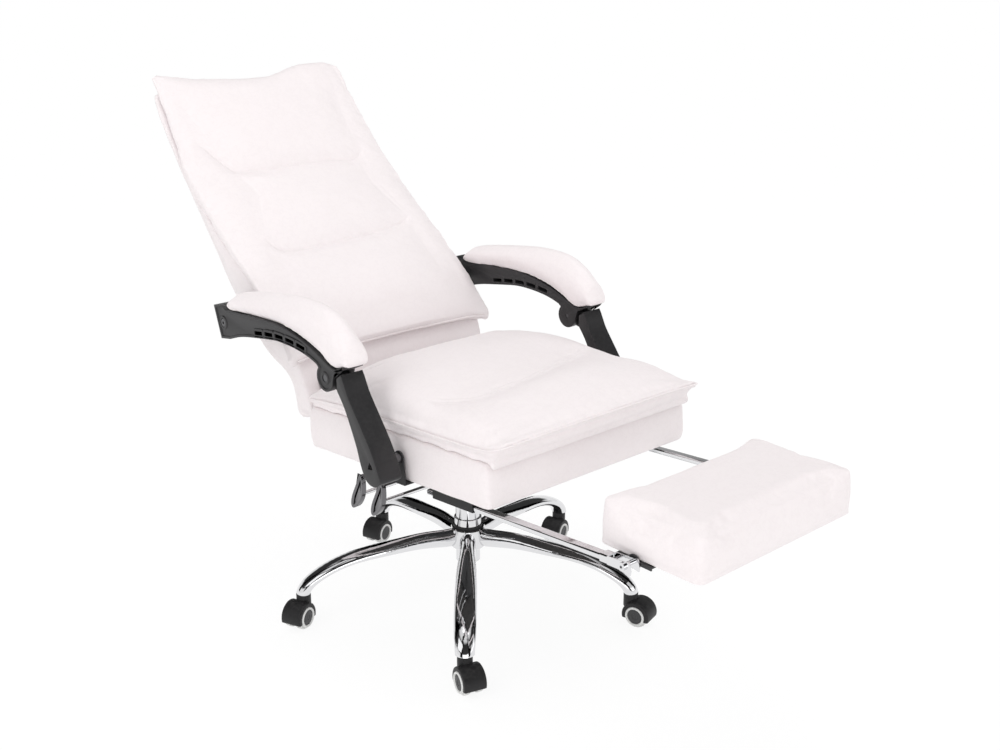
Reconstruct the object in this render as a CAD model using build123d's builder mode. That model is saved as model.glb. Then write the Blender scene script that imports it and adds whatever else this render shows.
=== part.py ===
"""Reclining office chair with a slide-out footrest, at its real size in millimetres.

Origin on the floor under the gas column, +Z up. The sitter faces -Y, so -X is the sitter's right.
The rest position has the back laid down, the footrest pulled out and its cushion turned up.
"""
import os
from collections import namedtuple
from math import atan2, cos, degrees, radians, sin

from build123d import *

os.makedirs("parts", exist_ok=True)

# ---------------------------------------------------------------- clearances
RUNNING = 0.05  # radial play of every shaft in its bore
SEATED = 0.0  # pieces of one body that stand face to face
TUCK = 3.0  # how far a soft piece is drawn into its neighbour before the two are trimmed to one face
SWING = 2.0  # air beside a plate that swings past another

# ---------------------------------------------------------------- base and casters
BASE_RADIUS = 345.0  # from the column to each caster stem
LEG_COUNT = 5
FRONT_LEG_ANGLE = -41.7  # the base's turn under the seat, degrees from straight ahead
HUB_RADIUS = 35.0
HUB_BOTTOM = 119.0
HUB_TOP = 163.0
RING_RADIUS = 30.0
RING_HEIGHT = 6.0
COLLAR_RADIUS = 28.0
COLLAR_HEIGHT = 15.0
COLUMN_RADIUS = 25.0
COLUMN_WALL = 1.6
COLUMN_BOTTOM = 88.0
COLUMN_TOP = 235.0
BUSH_LENGTH = 66.0
BUSH_LIP = 4.0
PISTON_RADIUS = 14.0
PISTON_BOTTOM = 153.0
PISTON_TOP = 328.0
PISTON_BORE = 5.1
ROD_RADIUS = 5.0
ROD_TOP = 250.0

# A leg's stations: distance out, height, fall in degrees, width, depth
LegStation = namedtuple("LegStation", "out height fall width depth")
LEG_STATIONS = (
    LegStation(HUB_RADIUS - 8, 142.5, 1, 29, 38),
    LegStation(90, 141.5, 2, 34, 34),
    LegStation(150, 138, 4, 39, 29),
    LegStation(210, 132, 9, 43, 25),
    LegStation(262, 122, 18, 43.5, 23),
    LegStation(304, 105, 36, 43, 23),
    LegStation(BASE_RADIUS - 13, 86, 56, 40, 25),
    LegStation(BASE_RADIUS + 1, 58, 80, 36, 29),
)

STEM_RADIUS = 5.5
STEM_GRIP = 12.0  # length of stem inside the leg
CASTER_TRAIL = 20.0
WHEEL_RADIUS = 25.0
WHEEL_WIDTH = 17.0
TYRE_DEPTH = 4.5
WEB_WIDTH = 11.0
WHEEL_GAP = 0.5  # beside the web
HOOD_GAP = 1.2  # over the tread
HOOD_WALL = 3.0
HOOD_TOP = 65.5
HOOD_SKIRT = 13.0  # lowest edge of the hood
NECK_RADIUS = 12.5
AXLE_RADIUS = 3.0
LEG_BOTTOM = 67.0
CASTER_YAWS = (-16, 16, -72, -72, -68)  # how each caster happens to stand, degrees

# ---------------------------------------------------------------- seat
SEAT_TILT = 4.15  # the seat falls to the rear, degrees
SEAT_FRONT_Y = -357.0
SEAT_BOTTOM_Z = 391.0  # at the front edge
SEAT_WIDTH = 517.0
SEAT_DEPTH = 545.0
SEAT_THICK = 82.0
BOARD_THICK = 12.0
BOARD_MARGIN = 14.0
PAD_OVERHANG = 38.0  # how far the top pad leans over the front edge

PAN_WIDTH = 130.0
PAN_FRONT = 238.0  # depths from the seat's front edge
PAN_REAR = 488.0
PAN_HEIGHT = 42.0
PAN_WALL = 2.5
PAN_FLANGE = 26.0
BOSS_RADIUS = 21.0
BOSS_BOTTOM = 298.0

LEVER_DEPTHS = {"height_lever": 317.0, "recline_lever": 255.0}
LEVER_DROP = 34.0  # rod axis below the seat's underside
LEVER_ROD_RADIUS = 4.0
PADDLE_X = -292.0
PADDLE_THICK = 8.0
PADDLE_TOP = 36.0  # above the rod
PADDLE_BOTTOM = 35.0  # below the rod
PADDLE_NARROW = 17.0
PADDLE_WIDE = 31.0
PADDLE_LEAN = 12.0  # the foot of each paddle lies this far behind its head

# ---------------------------------------------------------------- footrest
RAIL_X = 217.0
RAIL_WIDTH = 18.0
RAIL_HEIGHT = 10.0
RAIL_WALL = 1.5
RAIL_DROP = 22.6  # rail centre below the seat's underside
RAIL_FRONT_Y = -594.0
RAIL_REAR_Y = -150.0
CHANNEL_FRONT = 79.0  # the rail sleeves stop just ahead of the channels
CHANNEL_LENGTH = 110.0
GUIDE_WALL = 1.5
GUIDE_PLAY = 0.3
FLIP_Y = -631.5
FLIP_BOLT_RADIUS = 4.0
SLEEVE_WALL = 2.0
SLEEVE_LENGTH = 66.0
SLEEVE_HEIGHT = 17.0
BOLT_HEAD_RADIUS = 7.0
BOLT_HEAD_THICK = 4.0
REST_WIDTH = 401.0
REST_DEPTH = 211.0
REST_THICK = 80.0
REST_FRONT_Y = -762.0
REST_BOTTOM_Z = 391.0
REST_BOARD = 9.0
REST_BOARD_MARGIN = 16.0
STRAP_THICK = 2.5
STRAP_LENGTH = 74.0
STRAP_INSET = 50.0
EAR_RADIUS = 12.0

# ---------------------------------------------------------------- back
BACK_HINGE = (230.0, 450.0)  # (y, z)
HINGE_PIN_RADIUS = 5.0
HINGE_PLATE_X = 186.0
HINGE_PLATE = 4.0
HINGE_LUG_RADIUS = 17.0
UPRIGHT_THICK = 6.0
UPRIGHT_WIDTH = 36.0
UPRIGHT_TOP = (504.0, 683.0)
CROSS_TUBE_RADIUS = 10.0
CROSS_TUBE_LENGTH = 480.0
# The line where the back's top pad meets its shell, from the tail up, as (y, z)
BACK_LINE = (
    (200, 396),
    (214, 442),
    (238, 508),
    (300, 569),
    (360, 622),
    (472, 707),
    (570, 785),
    (665, 882),
    (754, 992),
    (784, 1030),
)
# Shell stations: height along the line, thickness behind it, half width
ShellStation = namedtuple("ShellStation", "up thick half")
SHELL_STATIONS = (
    ShellStation(0, 66, 233),
    ShellStation(14, 76, 238),
    ShellStation(60, 80, 240),
    ShellStation(120, 92, 242),
    ShellStation(205, 105, 248),
    ShellStation(290, 111, 250),
    ShellStation(426, 83, 252),
    ShellStation(551, 50, 252),
    ShellStation(686, 31, 250),
    ShellStation(800, 23, 244),
    ShellStation(834, 15, 238),
)
# Top pad stations: height along the line, seam, shoulder and crown above it, half width
PadStation = namedtuple("PadStation", "up seam shoulder crown half")
BACK_PAD_STATIONS = (
    PadStation(113, 8, 12, 15, 254),
    PadStation(124, 14, 28, 36, 259),
    PadStation(190, 16, 38, 52, 259),
    PadStation(280, 17, 39, 56, 258),
    PadStation(370, 16, 36, 49, 258),
    PadStation(460, 16, 37, 52, 258),
    PadStation(560, 15, 33, 44, 257),
    PadStation(650, 15, 31, 43, 257),
    PadStation(740, 13, 27, 40, 257),
    PadStation(820, 11, 20, 30, 258),
    PadStation(858, 9, 14, 19, 257),
    PadStation(869, 5, 8, 10, 256),
)
# Seat pad stations: depth from the seat's front edge, the rest as above
SEAT_PAD_STATIONS = (
    PadStation(-PAD_OVERHANG, 22, 34, 38, 252),
    PadStation(-28, 24, 46, 52, 259),
    PadStation(40, 26, 68, 82, 259),
    PadStation(120, 26, 76, 94, 257),
    PadStation(200, 26, 75, 92, 256),
    PadStation(290, 26, 77, 97, 256),
    PadStation(380, 26, 74, 93, 256),
    PadStation(460, 24, 64, 78, 257),
    PadStation(520, 20, 42, 52, 258),
    PadStation(538, 12, 22, 28, 254),
)
# The rounded ends of a pad are ruled, so that its long run stays free of waves
PAD_RUNS = ((0, 2, True), (1, -1, False), (-2, None, True))
SHOULDER_SHARE = 0.83  # where the shoulder arc hands over to the crown arc

# ---------------------------------------------------------------- arms
ARM_INNER_X = 284.0
ARM_WIDTH = 46.0
ARM_PIVOT = (357.0, 583.0)  # rear end, on the back
KNUCKLE = (6.0, 555.0)  # front end, on the bracket
KNUCKLE_RADIUS = 25.0
CHEEK = 12.5
HEAD_RADIUS = 20.0
HEAD_GAP = 1.0
ARM_BOLT_RADIUS = 5.0
ARM_BOLT_HEAD_RADIUS = 8.0
ARM_BOLT_HEAD = 4.0
KNUCKLE_BOLT_RADIUS = 4.0
BRACKET_BOLT_RADIUS = 5.0
# The bracket's foot pivot closes a parallelogram, so the arm stays level as the back moves
BRACKET_FOOT = (
    KNUCKLE[0] - (ARM_PIVOT[0] - BACK_HINGE[0]),
    KNUCKLE[1] - (ARM_PIVOT[1] - BACK_HINGE[1]),
)
MOUNT_PLATE = 3.0
MOUNT_PLATE_WIDTH = 26.0
MOUNT_PLATE_X = 262.0
ARM_PAD_CENTRE = 305.0
# Arm pad stations: world y, then world heights of underside, seam, shoulder and crown, half width
ArmPadStation = namedtuple("ArmPadStation", "up low seam shoulder crown half")
ARM_PAD_STATIONS = (
    ArmPadStation(362, 616, 619, 623, 625, 24),
    ArmPadStation(352, 614, 622, 632, 637, 29),
    ArmPadStation(318, 612, 628, 644, 652, 31),
    ArmPadStation(250, 617, 636, 656, 666.5, 31),
    ArmPadStation(184, 620, 640, 665, 676.5, 31),
    ArmPadStation(127, 618, 641, 670, 683, 31),
    ArmPadStation(58, 605, 636, 671, 685, 31),
    ArmPadStation(15, 590, 626, 665, 679, 31),
    ArmPadStation(-20, 578, 614, 651, 663, 31),
    ArmPadStation(-50, 585, 610, 635, 646, 30),
    ArmPadStation(-74, 600, 612, 624, 631, 27),
    ArmPadStation(-84, 612, 616, 620, 623, 22),
)
WINDOW_LENGTH = 28.0
WINDOW_HEIGHT = 8.0
ARM_WINDOWS = ((225, 590.5, 9), (189, 596, 6), (153, 599.5, 1), (117, 599.5, -3), (81, 597, -7))


def save(sub_part, node):
    """Label a finished piece and write it out."""
    sub_part.part.label = node
    export_step(sub_part.part, f"parts/{node}.step")


# Directions of the tilted seat: back along its underside, and square to it
fall = sin(radians(SEAT_TILT))
run = cos(radians(SEAT_TILT))
seat_plane = Plane(origin=(0, SEAT_FRONT_Y, SEAT_BOTTOM_Z), x_dir=(1, 0, 0), z_dir=(0, fall, run))
seat_side = Plane(origin=(0, SEAT_FRONT_Y, SEAT_BOTTOM_Z), x_dir=(0, run, -fall), z_dir=(1, 0, 0))


def seat_depth(y):
    """Depth along the seat's underside of the point below world y."""
    return (y - SEAT_FRONT_Y) / run


def seat_under(depth, drop=0.0):
    """World (y, z) of a point at this depth, this far below the seat's underside."""
    y = SEAT_FRONT_Y + depth * run - drop * fall
    z = SEAT_BOTTOM_Z - depth * fall - drop * run
    return y, z


def in_seat(point):
    """Seat coordinates (depth, rise) of a world (y, z) point."""
    dy = point[0] - SEAT_FRONT_Y
    dz = point[1] - SEAT_BOTTOM_Z
    return dy * run - dz * fall, dy * fall + dz * run


def seat_section(depth):
    """Plane across the seat at this depth: local x is sideways, local y rises."""
    y, z = seat_under(depth)
    return Plane(origin=(0, y, z), x_dir=(1, 0, 0), z_dir=(0, -run, fall))


def pad_outline(low, seam, shoulder, crown, half, share=SHOULDER_SHARE):
    """Outline of a padded section: flat under, piped seam at the sides, crowned on top."""
    foot = half - 7
    inner = half * share
    bulge = (half + inner) / 2 + 0.2 * (half - inner)
    rise = seam + 0.7 * (shoulder - seam)
    with BuildLine() as outline:
        Line((-foot, low), (foot, low))
        ThreePointArc((foot, low), (half - 2, (low + seam) / 2), (half, seam))
        ThreePointArc((half, seam), (bulge, rise), (inner, shoulder))
        ThreePointArc((inner, shoulder), (0, crown), (-inner, shoulder))
        ThreePointArc((-inner, shoulder), (-bulge, rise), (-half, seam))
        ThreePointArc((-half, seam), (-half + 2, (low + seam) / 2), (-foot, low))
    make_face(outline.edges())


# ================================================================ five-star base
with BuildPart() as base_hub:
    with BuildSketch(Plane.XY.offset(HUB_BOTTOM)):
        Circle(HUB_RADIUS)
        Circle(COLUMN_RADIUS + SEATED, mode=Mode.SUBTRACT)
    extrude(amount=HUB_TOP - HUB_BOTTOM)
    chamfer(base_hub.edges().filter_by(GeomType.CIRCLE).sort_by(SortBy.RADIUS)[-2:], 2)
save(base_hub, "base_hub")

with BuildPart() as one_leg:
    for station in LEG_STATIONS:
        slope = radians(station.fall)
        across = Plane(
            origin=(station.out, 0, station.height),
            x_dir=(0, 1, 0),
            z_dir=(cos(slope), 0, -sin(slope)),
        )
        with BuildSketch(across):
            Ellipse(station.width / 2, station.depth / 2)
    loft()
    split(bisect_by=Plane.XY.offset(LEG_BOTTOM), keep=Keep.TOP)
    with BuildSketch(Plane.XY):
        Circle(HUB_RADIUS + SEATED)
    extrude(amount=HUB_TOP + HUB_RADIUS, mode=Mode.SUBTRACT)
    with BuildSketch(Plane.XY.offset(LEG_BOTTOM)):
        with Locations((BASE_RADIUS, 0)):
            Circle(STEM_RADIUS + RUNNING)
    extrude(amount=STEM_GRIP + 1, mode=Mode.SUBTRACT)

with BuildPart() as base_legs:
    with PolarLocations(0, LEG_COUNT, start_angle=FRONT_LEG_ANGLE - 90):
        add(one_leg.part)
save(base_legs, "base_legs")

with BuildPart() as hub_ring:
    with BuildSketch(Plane.XY.offset(HUB_TOP)):
        Circle(RING_RADIUS)
        Circle(COLUMN_RADIUS, mode=Mode.SUBTRACT)
    extrude(amount=RING_HEIGHT)
    fillet(hub_ring.edges().filter_by(GeomType.CIRCLE).sort_by(Axis.Z)[-1], 1.5)
save(hub_ring, "hub_ring")

with BuildPart() as column_collar:
    with BuildSketch(Plane.XY.offset(HUB_TOP + RING_HEIGHT)):
        Circle(COLLAR_RADIUS)
        Circle(COLUMN_RADIUS, mode=Mode.SUBTRACT)
    extrude(amount=COLLAR_HEIGHT)
    fillet(column_collar.edges().filter_by(GeomType.CIRCLE).sort_by(Axis.Z)[-1], 1.5)
save(column_collar, "column_collar")

# ================================================================ gas column
with BuildPart() as gas_tube:
    with BuildSketch(Plane.XY.offset(COLUMN_BOTTOM)):
        Circle(COLUMN_RADIUS)
    extrude(amount=COLUMN_TOP - COLUMN_BOTTOM)
    with BuildSketch(Plane.XY.offset(COLUMN_BOTTOM + 3)):
        Circle(COLUMN_RADIUS - COLUMN_WALL)
    extrude(amount=COLUMN_TOP - COLUMN_BOTTOM, mode=Mode.SUBTRACT)
save(gas_tube, "gas_tube")

with BuildPart() as column_bush:
    with BuildSketch(Plane.XY.offset(COLUMN_TOP - BUSH_LENGTH)):
        Circle(COLUMN_RADIUS - COLUMN_WALL)
    extrude(amount=BUSH_LENGTH)
    with BuildSketch(Plane.XY.offset(COLUMN_TOP)):
        Circle(COLUMN_RADIUS)
    extrude(amount=BUSH_LIP)
    with BuildSketch(Plane.XY.offset(COLUMN_TOP - BUSH_LENGTH)):
        Circle(PISTON_RADIUS + RUNNING)
    extrude(amount=BUSH_LENGTH + BUSH_LIP, mode=Mode.SUBTRACT)
save(column_bush, "column_bush")

with BuildPart() as gas_rod:
    with BuildSketch(Plane.XY.offset(COLUMN_BOTTOM + 3)):
        Circle(ROD_RADIUS)
    extrude(amount=ROD_TOP - COLUMN_BOTTOM - 3)
save(gas_rod, "gas_rod")

with BuildPart() as gas_piston:
    with BuildSketch(Plane.XY.offset(PISTON_BOTTOM)):
        Circle(PISTON_RADIUS)
    extrude(amount=PISTON_TOP - PISTON_BOTTOM)
    with BuildSketch(Plane.XY.offset(PISTON_BOTTOM)):
        Circle(PISTON_BORE)
    extrude(amount=PISTON_TOP - PISTON_BOTTOM - 6, mode=Mode.SUBTRACT)
    with BuildSketch(Plane.XY.offset(PISTON_TOP)):
        Circle(4)
    extrude(amount=5)
save(gas_piston, "gas_piston")

# ================================================================ casters
wheel_outer = WEB_WIDTH / 2 + WHEEL_GAP + WHEEL_WIDTH
hood_radius = WHEEL_RADIUS + HOOD_GAP + HOOD_WALL
axle_at = (-CASTER_TRAIL, WHEEL_RADIUS)  # (y, z) in the side view

with BuildPart() as one_hood:
    with BuildSketch(Plane.YZ):
        with Locations(axle_at):
            Circle(hood_radius)
        with Locations(((-CASTER_TRAIL / 2 + NECK_RADIUS / 2), (WHEEL_RADIUS + HOOD_TOP) / 2)):
            Rectangle(CASTER_TRAIL + NECK_RADIUS, HOOD_TOP - WHEEL_RADIUS)
        with Locations((-CASTER_TRAIL, HOOD_SKIRT - hood_radius)):
            Rectangle(4 * hood_radius, 2 * hood_radius, mode=Mode.SUBTRACT)
        with Locations((-CASTER_TRAIL - 2, HOOD_TOP - 1)):
            Rectangle(2 * (CASTER_TRAIL - NECK_RADIUS) + 4, 8, rotation=14, mode=Mode.SUBTRACT)
    extrude(amount=wheel_outer - 2, both=True)
    fillet(one_hood.edges().filter_by(GeomType.CIRCLE).sort_by(Axis.Y)[:2], 2.5)
    for side in (1, -1):
        with BuildSketch(Plane.YZ.offset(side * WEB_WIDTH / 2)):
            with Locations(axle_at):
                Circle(WHEEL_RADIUS + HOOD_GAP)
        extrude(amount=side * wheel_outer, mode=Mode.SUBTRACT)
    with BuildSketch(Plane.YZ):
        with Locations(axle_at):
            Circle(AXLE_RADIUS + SEATED)
    extrude(amount=wheel_outer, both=True, mode=Mode.SUBTRACT)
    with BuildSketch(Plane.XY.offset(HOOD_TOP)):
        Circle(STEM_RADIUS + SEATED)
    extrude(amount=-STEM_GRIP, mode=Mode.SUBTRACT)

with BuildPart() as one_pin_set:
    with BuildSketch(Plane.XY.offset(HOOD_TOP - STEM_GRIP)):
        Circle(STEM_RADIUS)
    extrude(amount=STEM_GRIP + LEG_BOTTOM - HOOD_TOP + STEM_GRIP)
    with BuildSketch(Plane.YZ):
        with Locations(axle_at):
            Circle(AXLE_RADIUS)
    extrude(amount=wheel_outer - 3, both=True)

with BuildPart() as one_tyre_pair:
    with BuildSketch(Plane.YZ.offset(WEB_WIDTH / 2 + WHEEL_GAP)):
        with Locations(axle_at):
            Circle(WHEEL_RADIUS)
            Circle(WHEEL_RADIUS - TYRE_DEPTH, mode=Mode.SUBTRACT)
    extrude(amount=WHEEL_WIDTH)
    fillet(one_tyre_pair.edges().filter_by(GeomType.CIRCLE).sort_by(SortBy.RADIUS)[-2:], 2)
    mirror(about=Plane.YZ)

with BuildPart() as one_centre_pair:
    with BuildSketch(Plane.YZ.offset(WEB_WIDTH / 2 + WHEEL_GAP)):
        with Locations(axle_at):
            Circle(WHEEL_RADIUS - TYRE_DEPTH - SEATED)
            Circle(AXLE_RADIUS + RUNNING, mode=Mode.SUBTRACT)
    extrude(amount=WHEEL_WIDTH - 2)
    with BuildSketch(Plane.YZ.offset(WEB_WIDTH / 2 + WHEEL_GAP + WHEEL_WIDTH - 2)):
        with Locations(axle_at):
            Circle(WHEEL_RADIUS - TYRE_DEPTH - 3)
    extrude(amount=1.5, taper=30)
    mirror(about=Plane.YZ)

caster_pieces = {
    "caster_hood": one_hood,
    "caster_pins": one_pin_set,
    "caster_tyres": one_tyre_pair,
    "caster_centres": one_centre_pair,
}
for index, yaw in enumerate(CASTER_YAWS):
    leg_angle = radians(FRONT_LEG_ANGLE + index * 360 / LEG_COUNT)
    place = Location((BASE_RADIUS * sin(leg_angle), -BASE_RADIUS * cos(leg_angle), 0), (0, 0, yaw))
    for kind, source in caster_pieces.items():
        with BuildPart() as caster_piece:
            with Locations(place):
                add(source.part)
        save(caster_piece, f"{kind}_{index + 1}")

# ================================================================ seat
board_width = SEAT_WIDTH - 2 * BOARD_MARGIN
board_depth = SEAT_DEPTH - 2 * BOARD_MARGIN

with BuildPart() as seat_board:
    with BuildSketch(seat_plane):
        with Locations((0, SEAT_DEPTH / 2)):
            RectangleRounded(board_width, board_depth, 24)
    extrude(amount=BOARD_THICK)
save(seat_board, "seat_board")

with BuildPart() as seat_cushion:
    for rise, inset in ((0, 5), (SEAT_THICK / 2, 0), (SEAT_THICK, 4)):
        with BuildSketch(seat_plane.offset(rise)):
            with Locations((0, SEAT_DEPTH / 2)):
                RectangleRounded(SEAT_WIDTH - 2 * inset, SEAT_DEPTH - 2 * inset, 30)
    loft()
    fillet(seat_cushion.edges().group_by(SortBy.LENGTH)[-1].sort_by(Axis.Z)[:1], 3)
    with BuildSketch(seat_plane):
        with Locations((0, SEAT_DEPTH / 2)):
            RectangleRounded(board_width, board_depth, 24)
    extrude(amount=BOARD_THICK, mode=Mode.SUBTRACT)
save(seat_cushion, "seat_cushion")

with BuildPart() as seat_top_pad:
    for first, last, straight in PAD_RUNS:
        for station in SEAT_PAD_STATIONS[first:last]:
            with BuildSketch(seat_section(station.up)):
                pad_outline(
                    SEAT_THICK,
                    SEAT_THICK + station.seam,
                    SEAT_THICK + station.shoulder,
                    SEAT_THICK + station.crown,
                    station.half,
                )
        loft(ruled=straight)
save(seat_top_pad, "seat_top_pad")

# ================================================================ mechanism under the seat
with BuildPart() as mechanism_pan:
    with BuildSketch(seat_plane.offset(-PAN_HEIGHT)):
        with Locations((0, (PAN_FRONT + PAN_REAR) / 2)):
            RectangleRounded(PAN_WIDTH, PAN_REAR - PAN_FRONT, 12)
    extrude(amount=PAN_HEIGHT)
    with BuildSketch(seat_plane.offset(-PAN_HEIGHT + PAN_WALL)):
        with Locations((0, (PAN_FRONT + PAN_REAR) / 2)):
            RectangleRounded(PAN_WIDTH - 2 * PAN_WALL, PAN_REAR - PAN_FRONT - 2 * PAN_WALL, 9.5)
    extrude(amount=PAN_HEIGHT, mode=Mode.SUBTRACT)
    with BuildSketch(seat_plane):
        with Locations((0, (PAN_FRONT + PAN_REAR) / 2)):
            Rectangle(PAN_WIDTH + 2 * PAN_FLANGE, PAN_REAR - PAN_FRONT - 30)
            Rectangle(PAN_WIDTH - 2 * PAN_WALL, PAN_REAR - PAN_FRONT, mode=Mode.SUBTRACT)
    extrude(amount=-PAN_WALL)
    with BuildSketch(Plane.XY.offset(BOSS_BOTTOM)):
        Circle(BOSS_RADIUS)
    extrude(amount=PISTON_TOP - BOSS_BOTTOM)
    with BuildSketch(Plane.XY.offset(BOSS_BOTTOM)):
        Circle(PISTON_RADIUS + RUNNING)
    extrude(amount=PISTON_TOP - BOSS_BOTTOM + 8, mode=Mode.SUBTRACT)
    for depth in LEVER_DEPTHS.values():
        with BuildSketch(seat_side.offset(-PAN_WIDTH)):
            with Locations((depth, -LEVER_DROP)):
                Circle(LEVER_ROD_RADIUS + RUNNING)
        extrude(amount=PAN_WIDTH, mode=Mode.SUBTRACT)
save(mechanism_pan, "mechanism_pan")

for name, depth in LEVER_DEPTHS.items():
    with BuildPart() as lever_rod:
        with BuildSketch(seat_side.offset(PADDLE_X + PADDLE_THICK / 2)):
            with Locations((depth, -LEVER_DROP)):
                Circle(LEVER_ROD_RADIUS)
        extrude(amount=-PADDLE_X - PADDLE_THICK / 2 - PAN_WIDTH / 2 + 25)
    save(lever_rod, f"{name}_rod")

    with BuildPart() as lever_paddle:
        y, z = seat_under(depth, LEVER_DROP)
        head = PADDLE_NARROW / 2
        foot = PADDLE_WIDE / 2
        with BuildSketch(Plane.YZ.offset(PADDLE_X - PADDLE_THICK / 2)):
            with BuildLine():
                head_front = (y - PADDLE_LEAN / 2 - head, z + PADDLE_TOP)
                head_rear = (y - PADDLE_LEAN / 2 + head, z + PADDLE_TOP)
                foot_rear = (y + PADDLE_LEAN / 2 + foot, z - PADDLE_BOTTOM + 8)
                foot_front = (y + PADDLE_LEAN / 2 - foot, z - PADDLE_BOTTOM + 8)
                ThreePointArc(head_front, (y - PADDLE_LEAN / 2, z + PADDLE_TOP + 3), head_rear)
                ThreePointArc(head_rear, (y + head + 1, z + 2), foot_rear)
                ThreePointArc(foot_rear, (y + PADDLE_LEAN / 2, z - PADDLE_BOTTOM), foot_front)
                ThreePointArc(foot_front, (y - head - 1, z + 2), head_front)
            make_face()
        extrude(amount=PADDLE_THICK)
        fillet(lever_paddle.faces().sort_by(Axis.X)[0].edges(), 2)
    save(lever_paddle, f"{name}_paddle")

# ================================================================ footrest slide
rail_front = seat_depth(RAIL_FRONT_Y)
rail_rear = seat_depth(RAIL_REAR_Y)


def rail_section(depth):
    """Plane square to the rails at this depth, centred between them."""
    y, z = seat_under(depth, RAIL_DROP)
    return Plane(origin=(0, y, z), x_dir=(1, 0, 0), z_dir=(0, -run, fall))


with BuildPart() as footrest_rails:
    with BuildSketch(rail_section(rail_rear)):
        with Locations((RAIL_X, 0)):
            RectangleRounded(RAIL_WIDTH, RAIL_HEIGHT, 3)
            RectangleRounded(
                RAIL_WIDTH - 2 * RAIL_WALL, RAIL_HEIGHT - 2 * RAIL_WALL, 1.5, mode=Mode.SUBTRACT
            )
    extrude(amount=rail_rear - rail_front)
    mirror(about=Plane.YZ)
save(footrest_rails, "footrest_rails")

guide_half = RAIL_WIDTH / 2 + GUIDE_PLAY
with BuildPart() as rail_guides:
    with BuildSketch(seat_section(CHANNEL_FRONT)):
        with Locations((RAIL_X, -(RAIL_DROP + RAIL_HEIGHT / 2 + GUIDE_PLAY + GUIDE_WALL) / 2)):
            Rectangle(2 * guide_half + 2 * GUIDE_WALL, RAIL_DROP + RAIL_HEIGHT / 2 + GUIDE_PLAY + GUIDE_WALL)
        with Locations((RAIL_X, -RAIL_DROP)):
            Rectangle(2 * guide_half, RAIL_HEIGHT + 2 * GUIDE_PLAY, mode=Mode.SUBTRACT)
            Rectangle(RAIL_WIDTH / 2, 2 * RAIL_HEIGHT, align=(Align.CENTER, Align.MAX), mode=Mode.SUBTRACT)
        with Locations((RAIL_X, -GUIDE_WALL)):
            Rectangle(
                2 * guide_half,
                RAIL_DROP - RAIL_HEIGHT / 2 - GUIDE_PLAY - 2 * GUIDE_WALL,
                align=(Align.CENTER, Align.MAX),
                mode=Mode.SUBTRACT,
            )
    extrude(amount=-CHANNEL_LENGTH)
    mirror(about=Plane.YZ)
save(rail_guides, "rail_guides")

flip_depth = seat_depth(FLIP_Y)
flip_point = seat_under(flip_depth, RAIL_DROP)
sleeve_front = rail_front - SLEEVE_LENGTH + 12
sleeve_half = RAIL_WIDTH / 2 + SLEEVE_WALL
with BuildPart() as rail_sleeves:
    with BuildSketch(rail_section(rail_front + 12)):
        with Locations((RAIL_X, 0)):
            RectangleRounded(2 * sleeve_half, RAIL_HEIGHT + 2 * SLEEVE_WALL, 3)
            RectangleRounded(RAIL_WIDTH, RAIL_HEIGHT, 3, mode=Mode.SUBTRACT)
    extrude(amount=16)
    with BuildSketch(seat_side.offset(RAIL_X - sleeve_half)):
        with BuildLine():
            Polyline(
                (rail_front - 4, -RAIL_DROP + RAIL_HEIGHT / 2 + SLEEVE_WALL),
                (rail_front - 4, -RAIL_DROP - RAIL_HEIGHT / 2 - SLEEVE_WALL),
                (flip_depth + 4, -RAIL_DROP - RAIL_HEIGHT / 2 - SLEEVE_WALL - 1),
                (sleeve_front + 2, -RAIL_DROP - SLEEVE_HEIGHT / 2 - 4),
                (sleeve_front, -RAIL_DROP - SLEEVE_HEIGHT / 2 + 4),
                (sleeve_front + 3, -RAIL_DROP + SLEEVE_HEIGHT / 2),
                close=True,
            )
        make_face()
    extrude(amount=2 * sleeve_half)
    with BuildSketch(rail_section(rail_front - 4)):
        with Locations((RAIL_X, 0)):
            Rectangle(RAIL_WIDTH, 4 * SLEEVE_HEIGHT)
    extrude(amount=SLEEVE_LENGTH, mode=Mode.SUBTRACT)
    with BuildSketch(seat_side.offset(RAIL_X - sleeve_half)):
        with Locations((flip_depth, -RAIL_DROP)):
            Circle(FLIP_BOLT_RADIUS + SEATED)
    extrude(amount=2 * sleeve_half, mode=Mode.SUBTRACT)
    mirror(about=Plane.YZ)
save(rail_sleeves, "rail_sleeves")

ear_inner = REST_WIDTH / 2 + 1.5
ear_outer = ear_inner + STRAP_THICK
with BuildPart() as flip_bolts:
    with BuildSketch(seat_side.offset(ear_inner - 0.5)):
        with Locations((flip_depth, -RAIL_DROP)):
            Circle(FLIP_BOLT_RADIUS)
    extrude(amount=RAIL_X + sleeve_half - ear_inner + 0.5)
    with BuildSketch(seat_side.offset(RAIL_X + sleeve_half)):
        with Locations((flip_depth, -RAIL_DROP)):
            Circle(BOLT_HEAD_RADIUS)
            RegularPolygon(3, 6, mode=Mode.SUBTRACT)
    extrude(amount=BOLT_HEAD_THICK)
    with BuildSketch(seat_side.offset(RAIL_X + sleeve_half)):
        with Locations((flip_depth, -RAIL_DROP)):
            Circle(BOLT_HEAD_RADIUS - 1)
    extrude(amount=BOLT_HEAD_THICK / 2)
    mirror(about=Plane.YZ)
save(flip_bolts, "flip_bolts")

# ================================================================ footrest cushion
rest_plane = Plane(origin=(0, REST_FRONT_Y + REST_DEPTH / 2, REST_BOTTOM_Z))
with BuildPart() as footrest_board:
    with BuildSketch(rest_plane):
        RectangleRounded(REST_WIDTH - 2 * REST_BOARD_MARGIN, REST_DEPTH - 2 * REST_BOARD_MARGIN, 10)
    extrude(amount=REST_BOARD)
save(footrest_board, "footrest_board")

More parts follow.
